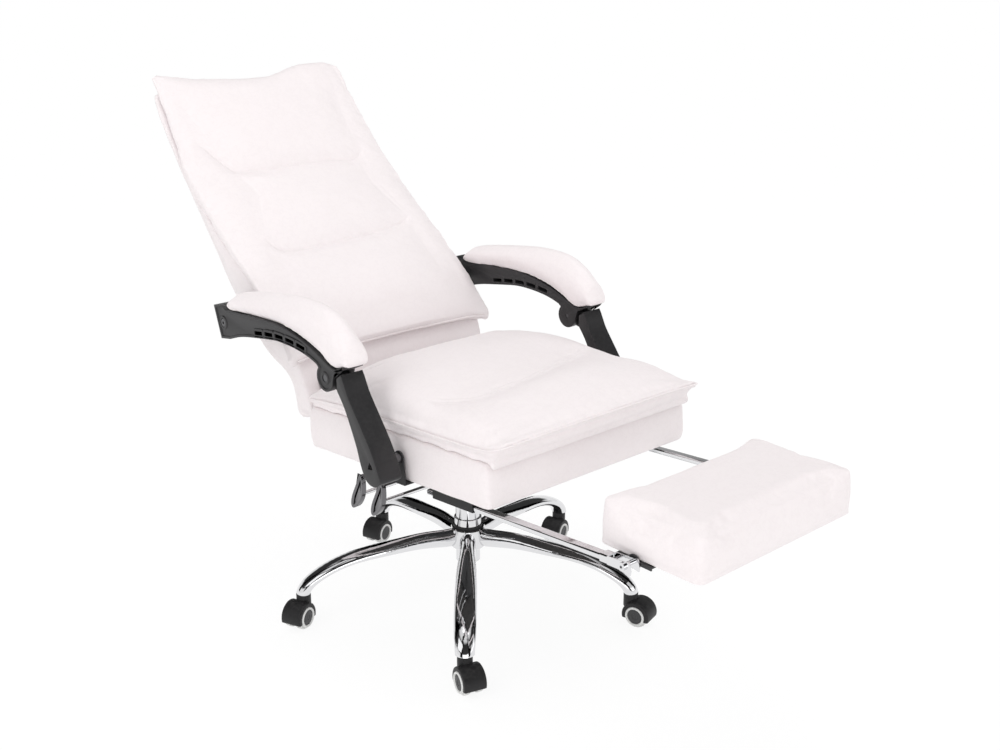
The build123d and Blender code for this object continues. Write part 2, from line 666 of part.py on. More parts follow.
with BuildPart() as footrest_cushion:
    for rise, inset in ((0, 3), (REST_THICK * 0.5, 0), (REST_THICK - 3, 3)):
        with BuildSketch(rest_plane.offset(rise)):
            RectangleRounded(REST_WIDTH - 2 * inset, REST_DEPTH - 2 * inset, 16)
    loft()
    fillet(footrest_cushion.faces().sort_by(Axis.Z)[-1].edges(), 8)
    with BuildSketch(rest_plane.offset(REST_THICK - 3)):
        RectangleRounded(REST_WIDTH - 24, REST_DEPTH - 24, 14)
    extrude(amount=3, taper=70)
    with BuildSketch(rest_plane):
        RectangleRounded(REST_WIDTH - 2 * REST_BOARD_MARGIN, REST_DEPTH - 2 * REST_BOARD_MARGIN, 10)
    extrude(amount=REST_BOARD, mode=Mode.SUBTRACT)
save(footrest_cushion, "footrest_cushion")

with BuildPart() as footrest_straps:
    with BuildSketch(Plane.XY.offset(REST_BOTTOM_Z)):
        with Locations((ear_outer - STRAP_INSET / 2, flip_point[0])):
            Rectangle(STRAP_INSET, STRAP_LENGTH)
    extrude(amount=-STRAP_THICK)
    with BuildSketch(Plane.YZ.offset(ear_inner)):
        with Locations(flip_point):
            Circle(EAR_RADIUS)
        with Locations((flip_point[0], REST_BOTTOM_Z)):
            Rectangle(STRAP_LENGTH, STRAP_THICK + 3, align=(Align.CENTER, Align.MAX))
    extrude(amount=STRAP_THICK)
    with BuildSketch(Plane.YZ.offset(ear_outer)):
        with Locations(flip_point):
            Circle(FLIP_BOLT_RADIUS + RUNNING)
    extrude(amount=-2 * STRAP_THICK, mode=Mode.SUBTRACT)
    mirror(about=Plane.YZ)
save(footrest_straps, "footrest_straps")

# ================================================================ back hinge
hinge_d, hinge_n = in_seat(BACK_HINGE)
with BuildPart() as hinge_plates:
    with BuildSketch(seat_side.offset(HINGE_PLATE_X)):
        with BuildLine():
            Polyline(
                (SEAT_DEPTH - 115, -SEATED),
                (SEAT_DEPTH - 105, -22),
                (SEAT_DEPTH + 26, -16),
                (hinge_d + HINGE_LUG_RADIUS, hinge_n),
                (hinge_d - HINGE_LUG_RADIUS, hinge_n),
                (SEAT_DEPTH + 3, 0),
                close=True,
            )
        make_face()
        with Locations((hinge_d, hinge_n)):
            Circle(HINGE_LUG_RADIUS)
            Circle(HINGE_PIN_RADIUS + SEATED, mode=Mode.SUBTRACT)
    extrude(amount=HINGE_PLATE)
    with BuildSketch(seat_plane):
        with Locations((HINGE_PLATE_X - 10, SEAT_DEPTH - 65)):
            Rectangle(28, 90)
    extrude(amount=-3)
    mirror(about=Plane.YZ)
save(hinge_plates, "hinge_plates")

upright_x = HINGE_PLATE_X + HINGE_PLATE + 1
with BuildPart() as hinge_pins:
    with BuildSketch(Plane.YZ.offset(HINGE_PLATE_X - 4)):
        with Locations(BACK_HINGE):
            Circle(HINGE_PIN_RADIUS + 4)
    extrude(amount=4)
    with BuildSketch(Plane.YZ.offset(HINGE_PLATE_X)):
        with Locations(BACK_HINGE):
            Circle(HINGE_PIN_RADIUS)
    extrude(amount=HINGE_PLATE + UPRIGHT_THICK + 4)
    mirror(about=Plane.YZ)
save(hinge_pins, "hinge_pins")

upright_run = Vector(UPRIGHT_TOP[0] - BACK_HINGE[0], UPRIGHT_TOP[1] - BACK_HINGE[1])
upright_angle = degrees(atan2(upright_run.Y, upright_run.X))
upright_mid = (
    (BACK_HINGE[0] + UPRIGHT_TOP[0]) / 2,
    (BACK_HINGE[1] + UPRIGHT_TOP[1]) / 2,
)
with BuildPart() as back_frame:
    with BuildSketch(Plane.YZ.offset(upright_x)):
        with Locations(Location(upright_mid, upright_angle)):
            SlotCenterToCenter(upright_run.length, UPRIGHT_WIDTH)
    extrude(amount=UPRIGHT_THICK)
    mirror(about=Plane.YZ)
    with BuildSketch(Plane.YZ):
        with Locations(ARM_PIVOT):
            Circle(CROSS_TUBE_RADIUS)
    extrude(amount=CROSS_TUBE_LENGTH / 2, both=True)
    for side in (1, -1):
        with BuildSketch(Plane.YZ.offset(side * CROSS_TUBE_LENGTH / 2)):
            with Locations(ARM_PIVOT):
                Circle(ARM_BOLT_RADIUS + SEATED)
        extrude(amount=-side * 40, mode=Mode.SUBTRACT)
    with BuildSketch(Plane.YZ):
        with Locations(BACK_HINGE):
            Circle(HINGE_PIN_RADIUS + RUNNING)
    extrude(amount=CROSS_TUBE_LENGTH, both=True, mode=Mode.SUBTRACT)
save(back_frame, "back_frame")

# ================================================================ back
with BuildLine():
    back_line = Spline([(0, y, z) for y, z in BACK_LINE])


def back_section(up):
    """Plane across the back at this height along its line: local y points to the sitter."""
    spot = back_line.position_at(up, position_mode=PositionMode.LENGTH)
    along = back_line.tangent_at(up, position_mode=PositionMode.LENGTH)
    return Plane(origin=spot, x_dir=(1, 0, 0), z_dir=-along)


# Everything on the sitter's side of the back line: the shell is trimmed by it and the pad to it
with BuildPart() as sitter_side:
    with BuildSketch(Plane.YZ):
        with BuildLine():
            Spline(BACK_LINE)
            Polyline(BACK_LINE[-1], (300, 1330), (-300, 900), (-200, BACK_LINE[0][1]), BACK_LINE[0])
        make_face()
    extrude(amount=SEAT_WIDTH, both=True)

with BuildPart() as back_shell:
    for station in SHELL_STATIONS:
        half = station.half
        deep = -station.thick
        corner = min(34, 0.55 * station.thick)
        with BuildSketch(back_section(station.up)):
            with BuildLine():
                Line((-half, TUCK), (half, TUCK))
                Line((half, TUCK), (half, deep + corner))
                RadiusArc((half, deep + corner), (half - corner, deep), 1.05 * corner)
                ThreePointArc((half - corner, deep), (0, deep - 8), (corner - half, deep))
                RadiusArc((corner - half, deep), (-half, deep + corner), 1.05 * corner)
                Line((-half, deep + corner), (-half, TUCK))
            make_face()
    loft()
    add(sitter_side.part, mode=Mode.SUBTRACT)
    slot_centre = HINGE_PLATE_X + HINGE_PLATE / 2
    slot_reach = HINGE_LUG_RADIUS + SWING
    for side in (1, -1):
        with Locations((side * slot_centre, BACK_HINGE[0] + slot_reach, BACK_HINGE[1] + slot_reach)):
            Box(
                HINGE_PLATE + 2 * SWING + 4,
                200,
                200,
                align=(Align.CENTER, Align.MAX, Align.MAX),
                mode=Mode.SUBTRACT,
            )
    with BuildSketch(Plane.YZ):
        with Locations(BACK_HINGE):
            Circle(HINGE_PIN_RADIUS + 6)
    extrude(amount=upright_x + UPRIGHT_THICK + 6, both=True, mode=Mode.SUBTRACT)
    with BuildSketch(Plane.YZ):
        with Locations(ARM_PIVOT):
            Circle(CROSS_TUBE_RADIUS)
    extrude(amount=CROSS_TUBE_LENGTH / 2, both=True, mode=Mode.SUBTRACT)
    with BuildSketch(Plane.YZ):
        with Locations(ARM_PIVOT):
            Circle(ARM_BOLT_RADIUS)
    extrude(amount=ARM_INNER_X, both=True, mode=Mode.SUBTRACT)
    for side in (1, -1):
        with BuildSketch(Plane.YZ.offset(side * upright_x)):
            with Locations(Location(upright_mid, upright_angle)):
                SlotCenterToCenter(upright_run.length, UPRIGHT_WIDTH)
        extrude(amount=side * UPRIGHT_THICK, mode=Mode.SUBTRACT)
save(back_shell, "back_shell")

with BuildPart() as back_top_pad:
    for first, last, straight in PAD_RUNS:
        for station in BACK_PAD_STATIONS[first:last]:
            with BuildSketch(back_section(station.up)):
                pad_outline(-TUCK, station.seam, station.shoulder, station.crown, station.half)
        loft(ruled=straight)
    add(sitter_side.part, mode=Mode.INTERSECT)
save(back_top_pad, "back_top_pad")

# ================================================================ arms
arm_outer_x = ARM_INNER_X + ARM_WIDTH
head_half = (ARM_WIDTH - 2 * CHEEK) / 2 - HEAD_GAP
arm_mid_x = ARM_INNER_X + ARM_WIDTH / 2
shell_side = 250.0

with BuildPart() as arm_frame:
    with BuildSketch(Plane.YZ.offset(ARM_INNER_X)):
        with BuildLine():
            Polyline((389, 614), (352, 618), (346, 612))
            Spline(
                (346, 612), (250, 619), (184, 622), (127, 620), (58, 606), (15, 591), (-28, 579), (-50, 589)
            )
            Polyline((-50, 589), (-49, 583), (-24, 571), (-19, 555), (6, 550), (24, 570), (31, 576))
            Spline((31, 576), (60, 584), (110, 590), (161, 590), (216, 582), (284, 570), (332, 555))
            Polyline((332, 555), (367, 549), (389, 614))
        make_face()
        with Locations(KNUCKLE):
            Circle(KNUCKLE_RADIUS)
        for y, z, turn in ARM_WINDOWS:
            with Locations(Location((y, z), -turn)):
                RectangleRounded(WINDOW_LENGTH, WINDOW_HEIGHT, 1.5, mode=Mode.SUBTRACT)
        with Locations(ARM_PIVOT):
            Circle(ARM_BOLT_RADIUS + RUNNING, mode=Mode.SUBTRACT)
        with Locations(KNUCKLE):
            Circle(KNUCKLE_BOLT_RADIUS + SEATED, mode=Mode.SUBTRACT)
    extrude(amount=ARM_WIDTH)
    with BuildSketch(Plane.YZ.offset(arm_mid_x - head_half - HEAD_GAP)):
        with Locations(KNUCKLE):
            Circle(HEAD_RADIUS + 3)
            Rectangle(2 * KNUCKLE_RADIUS + 10, KNUCKLE_RADIUS + 8, align=(Align.MAX, Align.MAX))
            Rectangle(2 * KNUCKLE_RADIUS + 10, KNUCKLE_RADIUS + 8, align=(Align.CENTER, Align.MAX))
            Rectangle(KNUCKLE_RADIUS + 8, 15, align=(Align.MAX, Align.MIN))
    extrude(amount=2 * (head_half + HEAD_GAP), mode=Mode.SUBTRACT)
    with BuildSketch(Plane.YZ.offset(arm_outer_x)):
        with Locations(ARM_PIVOT):
            Circle(ARM_BOLT_HEAD_RADIUS + 1)
    extrude(amount=-ARM_BOLT_HEAD, mode=Mode.SUBTRACT)
    with BuildSketch(Plane.YZ.offset(arm_outer_x)):
        with Locations(KNUCKLE):
            Circle(ARM_BOLT_HEAD_RADIUS - 1)
    extrude(amount=-ARM_BOLT_HEAD, mode=Mode.SUBTRACT)

with BuildPart() as knuckle_bolt:
    with BuildSketch(Plane.YZ.offset(ARM_INNER_X + 1)):
        with Locations(KNUCKLE):
            Circle(KNUCKLE_BOLT_RADIUS)
    extrude(amount=ARM_WIDTH - ARM_BOLT_HEAD - 1)
    with BuildSketch(Plane.YZ.offset(arm_outer_x - ARM_BOLT_HEAD)):
        with Locations(KNUCKLE):
            Circle(ARM_BOLT_HEAD_RADIUS - 1.5)
            RegularPolygon(2.6, 6)
    extrude(amount=ARM_BOLT_HEAD - 1)

with BuildPart() as arm_bracket:
    with BuildSketch(Plane.YZ.offset(arm_mid_x - head_half)):
        with Locations(KNUCKLE):
            Circle(HEAD_RADIUS)
        with BuildLine():
            Polyline((2, 574), (-36, 560), (-60, 530), (-33, 530), (0, 536), close=True)
        make_face()
        with Locations(KNUCKLE):
            Circle(KNUCKLE_BOLT_RADIUS + RUNNING, mode=Mode.SUBTRACT)
    extrude(amount=2 * head_half)
    with BuildSketch(Plane.YZ.offset(ARM_INNER_X - 2)):
        with BuildLine():
            Line((-31, 557), (-44, 566))
            Spline((-44, 566), (-67, 532), (-102, 484), (-130, 442), (-150, 404))
            Line((-150, 404), (-150, 398))
            ThreePointArc((-150, 398), (-122, 387), (-101, 404))
            Spline((-101, 404), (-94, 417), (-83, 446), (-70, 478), (-53, 511), (-31, 540))
            Line((-31, 540), (-31, 557))
        make_face()
        with Locations(BRACKET_FOOT):
            Circle(BRACKET_BOLT_RADIUS + RUNNING, mode=Mode.SUBTRACT)
    extrude(amount=ARM_WIDTH + 2)
    with BuildSketch(Plane.YZ.offset(arm_outer_x)):
        with Locations(BRACKET_FOOT):
            RegularPolygon(9, 3, rotation=80)
    extrude(amount=-ARM_BOLT_HEAD, mode=Mode.SUBTRACT)

with BuildPart() as arm_pad:
    for station in ARM_PAD_STATIONS:
        across = Plane(origin=(ARM_PAD_CENTRE, station.up, 0), x_dir=(1, 0, 0), z_dir=(0, -1, 0))
        with BuildSketch(across):
            pad_outline(station.low, station.seam, station.shoulder, station.crown, station.half, 0.62)
    loft()
    add(arm_frame.part, mode=Mode.SUBTRACT)

arm_pieces = {
    "arm_frame": arm_frame,
    "arm_pad": arm_pad,
    "knuckle_bolt": knuckle_bolt,
    "arm_bracket": arm_bracket,
}
for kind, source in arm_pieces.items():
    with BuildPart() as left_piece:
        add(source.part)
    save(left_piece, f"left_{kind}")
    with BuildPart() as right_piece:
        add(source.part)
        mirror(about=Plane.YZ, mode=Mode.REPLACE)
    save(right_piece, f"right_{kind}")

with BuildPart() as arm_rear_bolts:
    with BuildSketch(Plane.YZ.offset(CROSS_TUBE_LENGTH / 2 - 38)):
        with Locations(ARM_PIVOT):
            Circle(ARM_BOLT_RADIUS)
    extrude(amount=arm_outer_x - ARM_BOLT_HEAD - CROSS_TUBE_LENGTH / 2 + 38.5)
    with BuildSketch(Plane.YZ.offset(arm_outer_x - ARM_BOLT_HEAD + 0.5)):
        with Locations(ARM_PIVOT):
            Circle(ARM_BOLT_HEAD_RADIUS)
            RegularPolygon(3, 6, mode=Mode.SUBTRACT)
    extrude(amount=ARM_BOLT_HEAD - 1)
    mirror(about=Plane.YZ)
save(arm_rear_bolts, "arm_rear_bolts")

with BuildPart() as arm_spacers:
    with BuildSketch(Plane.YZ.offset(shell_side)):
        with Locations(ARM_PIVOT):
            Circle(12)
            Circle(ARM_BOLT_RADIUS + SEATED, mode=Mode.SUBTRACT)
    extrude(amount=ARM_INNER_X - 0.3 - shell_side)
    mirror(about=Plane.YZ)
save(arm_spacers, "arm_spacers")

with BuildPart() as arm_mount_plates:
    foot_d, foot_n = in_seat(BRACKET_FOOT)
    with BuildSketch(seat_side.offset(MOUNT_PLATE_X)):
        with Locations((foot_d, foot_n)):
            Circle(MOUNT_PLATE_WIDTH / 2)
            Rectangle(MOUNT_PLATE_WIDTH, foot_n + MOUNT_PLATE, align=(Align.CENTER, Align.MAX))
            Circle(BRACKET_BOLT_RADIUS + SEATED, mode=Mode.SUBTRACT)
    extrude(amount=MOUNT_PLATE)
    with BuildSketch(seat_plane):
        with Locations((MOUNT_PLATE_X + MOUNT_PLATE, foot_d)):
            Rectangle(32, MOUNT_PLATE_WIDTH, align=(Align.MAX, Align.CENTER))
    extrude(amount=-MOUNT_PLATE)
    mirror(about=Plane.YZ)
save(arm_mount_plates, "arm_mount_plates")

with BuildPart() as bracket_bolts:
    with BuildSketch(Plane.YZ.offset(MOUNT_PLATE_X)):
        with Locations(BRACKET_FOOT):
            Circle(BRACKET_BOLT_RADIUS)
    extrude(amount=ARM_INNER_X + 30 - MOUNT_PLATE_X)
    with BuildSketch(Plane.YZ.offset(MOUNT_PLATE_X + MOUNT_PLATE)):
        with Locations(BRACKET_FOOT):
            Circle(10)
    extrude(amount=ARM_INNER_X - 2.3 - MOUNT_PLATE_X - MOUNT_PLATE)
    mirror(about=Plane.YZ)
save(bracket_bolts, "bracket_bolts")

print("linkage:", "hinge", BACK_HINGE, "arm", ARM_PIVOT, "knuckle", KNUCKLE, "foot", BRACKET_FOOT)
print("flip axis (y, z):", flip_point, "rail direction:", (0, run, -fall))
for name, depth in LEVER_DEPTHS.items():
    print(name, "axis (y, z):", seat_under(depth, LEVER_DROP))
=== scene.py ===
"""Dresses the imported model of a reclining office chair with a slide-out footrest.

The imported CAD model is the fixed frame. Every padded piece is blown up as stuffed leather from the
solid it stands for, the moulded and plated pieces are modelled or finished in place, and each piece
rides on its CAD body. Lengths are in millimetres where a name or docstring says so, else in metres.
"""

from __future__ import annotations

import logging
import math
from contextlib import contextmanager
from dataclasses import dataclass, field
from enum import Enum
from typing import Callable, Iterable, Iterator, Sequence

import bmesh
import bpy
import numpy as np
from mathutils import Matrix, Vector, kdtree, noise


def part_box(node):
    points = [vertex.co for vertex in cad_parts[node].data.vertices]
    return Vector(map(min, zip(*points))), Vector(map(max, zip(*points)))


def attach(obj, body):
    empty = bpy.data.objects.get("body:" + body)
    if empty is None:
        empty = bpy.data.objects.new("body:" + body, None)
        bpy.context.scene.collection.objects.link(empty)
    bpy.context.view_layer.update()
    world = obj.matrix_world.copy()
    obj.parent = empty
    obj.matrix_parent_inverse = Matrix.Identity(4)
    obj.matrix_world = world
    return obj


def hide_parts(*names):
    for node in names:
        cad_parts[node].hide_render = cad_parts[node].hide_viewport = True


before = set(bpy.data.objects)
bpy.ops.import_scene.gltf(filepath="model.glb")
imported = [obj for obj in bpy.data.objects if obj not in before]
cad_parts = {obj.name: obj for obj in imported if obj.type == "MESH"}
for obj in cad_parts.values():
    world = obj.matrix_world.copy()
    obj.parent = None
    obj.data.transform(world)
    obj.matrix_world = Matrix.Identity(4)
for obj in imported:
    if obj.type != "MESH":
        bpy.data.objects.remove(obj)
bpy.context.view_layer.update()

log = logging.getLogger("chair")
MM = 0.001
Points = np.ndarray


# ---------------------------------------------------------------- working in the scene


def lone(obj: bpy.types.Object) -> bpy.types.Object:
    """Leaves only this object selected and active, and returns it."""
    if bpy.context.object and bpy.context.object.mode != "OBJECT":
        bpy.ops.object.mode_set(mode="OBJECT")
    bpy.ops.object.select_all(action="DESELECT")
    obj.select_set(True)
    bpy.context.view_layer.objects.active = obj
    return obj


@contextmanager
def whole_mesh(obj: bpy.types.Object) -> Iterator[None]:
    """Opens an object in edit mode with all of its mesh selected, and closes it again."""
    lone(obj)
    bpy.ops.object.mode_set(mode="EDIT")
    bpy.ops.mesh.select_all(action="SELECT")
    yield
    bpy.ops.object.mode_set(mode="OBJECT")


def apply_modifiers(obj: bpy.types.Object) -> None:
    """Applies every modifier of an object, first to last."""
    lone(obj)
    for modifier in list(obj.modifiers):
        bpy.ops.object.modifier_apply(modifier=modifier.name)


def cad_copy(node: str, name: str) -> bpy.types.Object:
    """Copies a CAD node's mesh into a new object with its doubles merged.

    Args:
        node: name of the CAD node.
        name: name of the new object.

    Returns:
        The new object, at the origin, with no material.
    """
    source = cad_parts[node]
    obj = bpy.data.objects.new(name, source.data.copy())
    obj.data.materials.clear()
    bpy.context.scene.collection.objects.link(obj)
    with whole_mesh(obj):
        bpy.ops.mesh.remove_doubles(threshold=1e-5)
        bpy.ops.mesh.normals_make_consistent(inside=False)
    return obj


def points_of(obj: bpy.types.Object) -> Points:
    """The places of a mesh's vertices, one row each, in metres."""
    flat = np.empty(len(obj.data.vertices) * 3)
    obj.data.vertices.foreach_get("co", flat)
    return flat.reshape(-1, 3)


def normals_of(obj: bpy.types.Object) -> Points:
    """The outward normals at a mesh's vertices, one row each."""
    flat = np.empty(len(obj.data.vertices) * 3, dtype=np.float32)
    obj.data.vertex_normals.foreach_get("vector", flat)
    return flat.reshape(-1, 3).astype(float)


def put_points(obj: bpy.types.Object, points: Points) -> None:
    """Moves a mesh's vertices to these places."""
    obj.data.vertices.foreach_set("co", np.ascontiguousarray(points, dtype=float).ravel())
    obj.data.update()


def voxel_skin(obj: bpy.types.Object, voxel: float) -> None:
    """Turns a solid into one even skin and drops what lies closed off inside it.

    Args:
        obj: the object to remesh.
        voxel: voxel size in millimetres.
    """
    remesh = obj.modifiers.new("skin", "REMESH")
    remesh.mode = "VOXEL"
    remesh.voxel_size = voxel * MM
    apply_modifiers(obj)
    mesh = bmesh.new()
    mesh.from_mesh(obj.data)
    left = set(mesh.verts)
    shells = []
    while left:
        shell, edge = set(), [left.pop()]
        while edge:
            vert = edge.pop()
            shell.add(vert)
            for link in vert.link_edges:
                other = link.other_vert(vert)
                if other in left:
                    left.discard(other)
                    edge.append(other)
        shells.append(shell)
    shells.sort(key=len)
    inner = [vert for shell in shells[:-1] for vert in shell]
    bmesh.ops.delete(mesh, geom=inner, context="VERTS")
    mesh.to_mesh(obj.data)
    mesh.free()


def relax(obj: bpy.types.Object, rounds: int) -> None:
    """Smooths a mesh evenly, to take a remesh's steps out or to soften its corners."""
    smooth = obj.modifiers.new("relax", "SMOOTH")
    smooth.iterations = rounds
    smooth.factor = 0.5
    apply_modifiers(obj)


def subdivide(obj: bpy.types.Object) -> None:
    """Applies one level of subdivision surface."""
    divide = obj.modifiers.new("divide", "SUBSURF")
    divide.levels = divide.render_levels = 1
    apply_modifiers(obj)


def shade(obj: bpy.types.Object, angle: float = 35.0) -> None:
    """Shades an object smooth, with edges sharper than this angle left crisp."""
    lone(obj)
    bpy.ops.object.shade_smooth_by_angle(angle=math.radians(angle))


def soften(obj: bpy.types.Object, width: float, angle: float = 35.0, segments: int = 3) -> None:
    """Rounds an object's edges that are sharper than an angle, by a width in millimetres."""
    bevel = obj.modifiers.new("soft_edges", "BEVEL")
    bevel.width = width * MM
    bevel.segments = segments
    bevel.limit_method = "ANGLE"
    bevel.angle_limit = math.radians(angle)
    apply_modifiers(obj)


def tidy_copy(node: str, name: str) -> bpy.types.Object:
    """Copies a CAD node's mesh with its flat faces made whole."""
    obj = cad_copy(node, name)
    with whole_mesh(obj):
        bpy.ops.mesh.dissolve_limited(angle_limit=math.radians(0.6))
    return obj


def rim_face(obj: bpy.types.Object, plane: float, rim: float, recess: float) -> None:
    """Sinks a face that looks sideways, leaving a rim along its outline.

    Args:
        obj: the piece.
        plane: sideways place of the face in millimetres, below 0 for one that looks left.
        rim: width of the rim in millimetres.
        recess: how far the face sinks, in millimetres.
    """
    lone(obj)
    bpy.ops.object.mode_set(mode="EDIT")
    bpy.ops.mesh.select_mode(type="FACE")
    bpy.ops.mesh.select_all(action="DESELECT")
    bpy.ops.object.mode_set(mode="OBJECT")
    way = math.copysign(1.0, plane)
    for face in obj.data.polygons:
        face.select = face.normal.x * way > 0.99 and abs(face.center.x / MM - plane) < 0.3
    bpy.ops.object.mode_set(mode="EDIT")
    bpy.ops.mesh.inset(thickness=rim * MM)
    bpy.ops.mesh.inset(thickness=0.9 * recess * MM, depth=-recess * MM)
    bpy.ops.object.mode_set(mode="OBJECT")


def cylinder(
    name: str, radius: float, start: Sequence[float], end: Sequence[float], sides: int = 64
) -> bpy.types.Object:
    """Adds a cylinder between two places in millimetres and puts its place into its mesh."""
    low, high = Vector(start) * MM, Vector(end) * MM
    bpy.ops.object.select_all(action="DESELECT")
    bpy.ops.mesh.primitive_cylinder_add(
        vertices=sides,
        radius=radius * MM,
        depth=(high - low).length,
        location=(low + high) / 2,
        rotation=(high - low).to_track_quat("Z", "Y").to_euler(),
    )
    obj = bpy.context.object
    obj.name = name
    bpy.ops.object.transform_apply(location=True, rotation=True, scale=True)
    return obj


def combine(obj: bpy.types.Object, tool: bpy.types.Object, operation: str) -> None:
    """Adds a tool's shape to an object or cuts it away, and removes the tool."""
    boolean = obj.modifiers.new("combine", "BOOLEAN")
    boolean.operation = operation
    boolean.solver = "EXACT"
    boolean.object = tool
    apply_modifiers(obj)
    bpy.data.objects.remove(tool)


def joined(pieces: Sequence[bpy.types.Object], name: str) -> bpy.types.Object:
    """Joins pieces into one object."""
    first = lone(pieces[0])
    for piece in pieces[1:]:
        piece.select_set(True)
    bpy.ops.object.join()
    first.name = name
    return first


def placed_copy(source: bpy.types.Object, name: str, place: Matrix) -> bpy.types.Object:
    """Copies a piece with its own mesh, moved by a matrix that goes into the mesh."""
    obj = bpy.data.objects.new(name, source.data.copy())
    obj.data.transform(place)
    if place.determinant() < 0:
        obj.data.flip_normals()
    bpy.context.scene.collection.objects.link(obj)
    return obj


MIRRORED = Matrix.Scale(-1.0, 4, Vector((1.0, 0.0, 0.0)))


def soft_noise(points: Points, size: float, seed: float) -> np.ndarray:
    """Smooth noise between about -1 and 1 at each point.

    Args:
        points: places in millimetres, two or three columns.
        size: distance over which the noise changes, in millimetres.
        seed: shifts the pattern, so that two uses differ.

    Returns:
        One value for each point.
    """
    scaled = points / size
    if scaled.shape[1] == 2:
        scaled = np.column_stack([scaled, np.zeros(len(scaled))])
    return np.array([noise.noise((x + seed, y - seed, z + 2 * seed)) for x, y, z in scaled])


def ease(value: np.ndarray) -> np.ndarray:
    """Smooth step from 0 to 1."""
    held = np.clip(value, 0.0, 1.0)
    return held * held * (3.0 - 2.0 * held)


def bell(distance: np.ndarray, width: float) -> np.ndarray:
    """1 at no distance, falling smoothly to nothing over about twice the width."""
    return np.exp(-((distance / width) ** 2))


def smooth_line(corners: Sequence[Sequence[float]], step: float = 3.0) -> Points:
    """Points along a smooth line through the given ones.

    Args:
        corners: what the line goes through, in two or three dimensions.
        step: distance between the points it returns.

    Returns:
        The points, one row each.
    """
    given = np.array(corners, dtype=float)
    if len(given) == 2:
        count = max(2, int(np.linalg.norm(given[1] - given[0]) / step))
        return given[0] + np.linspace(0, 1, count)[:, None] * (given[1] - given[0])
    ends = np.vstack([2 * given[0] - given[1], given, 2 * given[-1] - given[-2]])
    line = []
    for a, b, c, d in zip(ends, ends[1:], ends[2:], ends[3:]):
        count = max(2, int(np.linalg.norm(c - b) / step))
        for t in np.linspace(0, 1, count, endpoint=False):
            square, cube = 2 * a - 5 * b + 4 * c - d, 3 * b - a - 3 * c + d
            line.append(0.5 * (2 * b + (c - a) * t + square * t**2 + cube * t**3))
    line.append(given[-1])
    return np.array(line)


def straight_line(corners: Sequence[Sequence[float]], step: float = 3.0) -> Points:
    """Points along the straight runs between the given ones, with softened corners.

    Args:
        corners: the ends of the runs, in two or three dimensions.
        step: distance between the points it returns.

    Returns:
        The points, one row each.
    """
    given = np.array(corners, dtype=float)
    reach = np.r_[0.0, np.cumsum(np.linalg.norm(np.diff(given, axis=0), axis=1))]
    places = np.linspace(0.0, reach[-1], max(2, int(reach[-1] / step)))
    line = np.column_stack([np.interp(places, reach, column) for column in given.T])
    for _ in range(4):
        line[1:-1] = (line[:-2] + 2 * line[1:-1] + line[2:]) / 4
    return line


def nearest(points: Points, line: Points) -> tuple[np.ndarray, np.ndarray]:
    """Finds how far each point is from a line of points.

    Args:
        points: the places to test, two or three columns.
        line: the line's points, with as many columns.

    Returns:
        The distance of each place, and the number of the line's point that is nearest.
    """
    tree = kdtree.KDTree(len(line))
    for index, spot in enumerate(line):
        tree.insert((*spot, 0.0)[:3], index)
    tree.balance()
    far = np.empty(len(points))
    which = np.empty(len(points), dtype=int)
    for row, spot in enumerate(points):
        _, which[row], far[row] = tree.find((*spot, 0.0)[:3])
    return far, which


# ---------------------------------------------------------------- where things lie on the chair


class Guide:
    """A line in the chair's side view that a pad follows, with heights measured square to it."""

    def __init__(self, corners: Sequence[tuple[float, float]]) -> None:
        """Takes the line's points as (y, z) in millimetres, heights growing to its left."""
        self.line = smooth_line(corners, 2.0)
        steps = np.diff(self.line, axis=0)
        self.along = np.r_[0.0, np.cumsum(np.linalg.norm(steps, axis=1))]
        tangent = np.gradient(self.line, axis=0)
        self.tangent = tangent / np.linalg.norm(tangent, axis=1)[:, None]
        self.square = np.column_stack([-self.tangent[:, 1], self.tangent[:, 0]])

    def locate(self, points: Points) -> tuple[np.ndarray, np.ndarray, np.ndarray, np.ndarray]:
        """Turns places into the pad's own measures.

        Args:
            points: places in metres.

        Returns:
            Sideways place, place along the line and height over it, all in millimetres, and the
            number of the line's nearest point.
        """
        flat = points / MM
        _, which = nearest(flat[:, 1:], self.line)
        which = np.clip(which, 1, len(self.line) - 2)
        away = flat[:, 1:] - self.line[which]
        along = self.along[which] + (away * self.tangent[which]).sum(1)
        height = (away * self.square[which]).sum(1)
        return flat[:, 0], along, height, which

    def moved(
        self, points: Points, which: np.ndarray, side: np.ndarray, along: np.ndarray, height: np.ndarray
    ) -> Points:
        """Places shifted by these millimetres sideways, along the line and square to it."""
        shift = along[:, None] * self.tangent[which] + height[:, None] * self.square[which]
        return points + MM * np.column_stack([side, shift])

    def laid(self, own: Points) -> Points:
        """The places, in metres, of points given as rows of side, along and height."""
        return np.array([self.at(*row) for row in own])

    def at(self, side: float, along: float, height: float) -> Vector:
        """The place, in metres, of one point given in the pad's own measures."""
        spot = np.array([np.interp(along, self.along, self.line[:, k]) for k in (0, 1)])
        row = min(int(np.searchsorted(self.along, along)), len(self.along) - 1)
        beyond = along - min(max(along, 0.0), self.along[-1])
        spot = spot + beyond * self.tangent[row] + height * self.square[row]
        return Vector((side, *spot)) * MM


SEAT_FALL = math.radians(4.15)
SEAT_FRONT = (-357.0, 391.0)
SEAT_THICK = 82.0
SEAT_DEPTH = 545.0


def on_seat(depth: float, height: float) -> tuple[float, float]:
    """(y, z) of a place this far behind the seat's front edge and over its underside, in millimetres."""
    run, fall = math.cos(SEAT_FALL), math.sin(SEAT_FALL)
    return (
        SEAT_FRONT[0] + depth * run + height * fall,
        SEAT_FRONT[1] - depth * fall + height * run,
    )


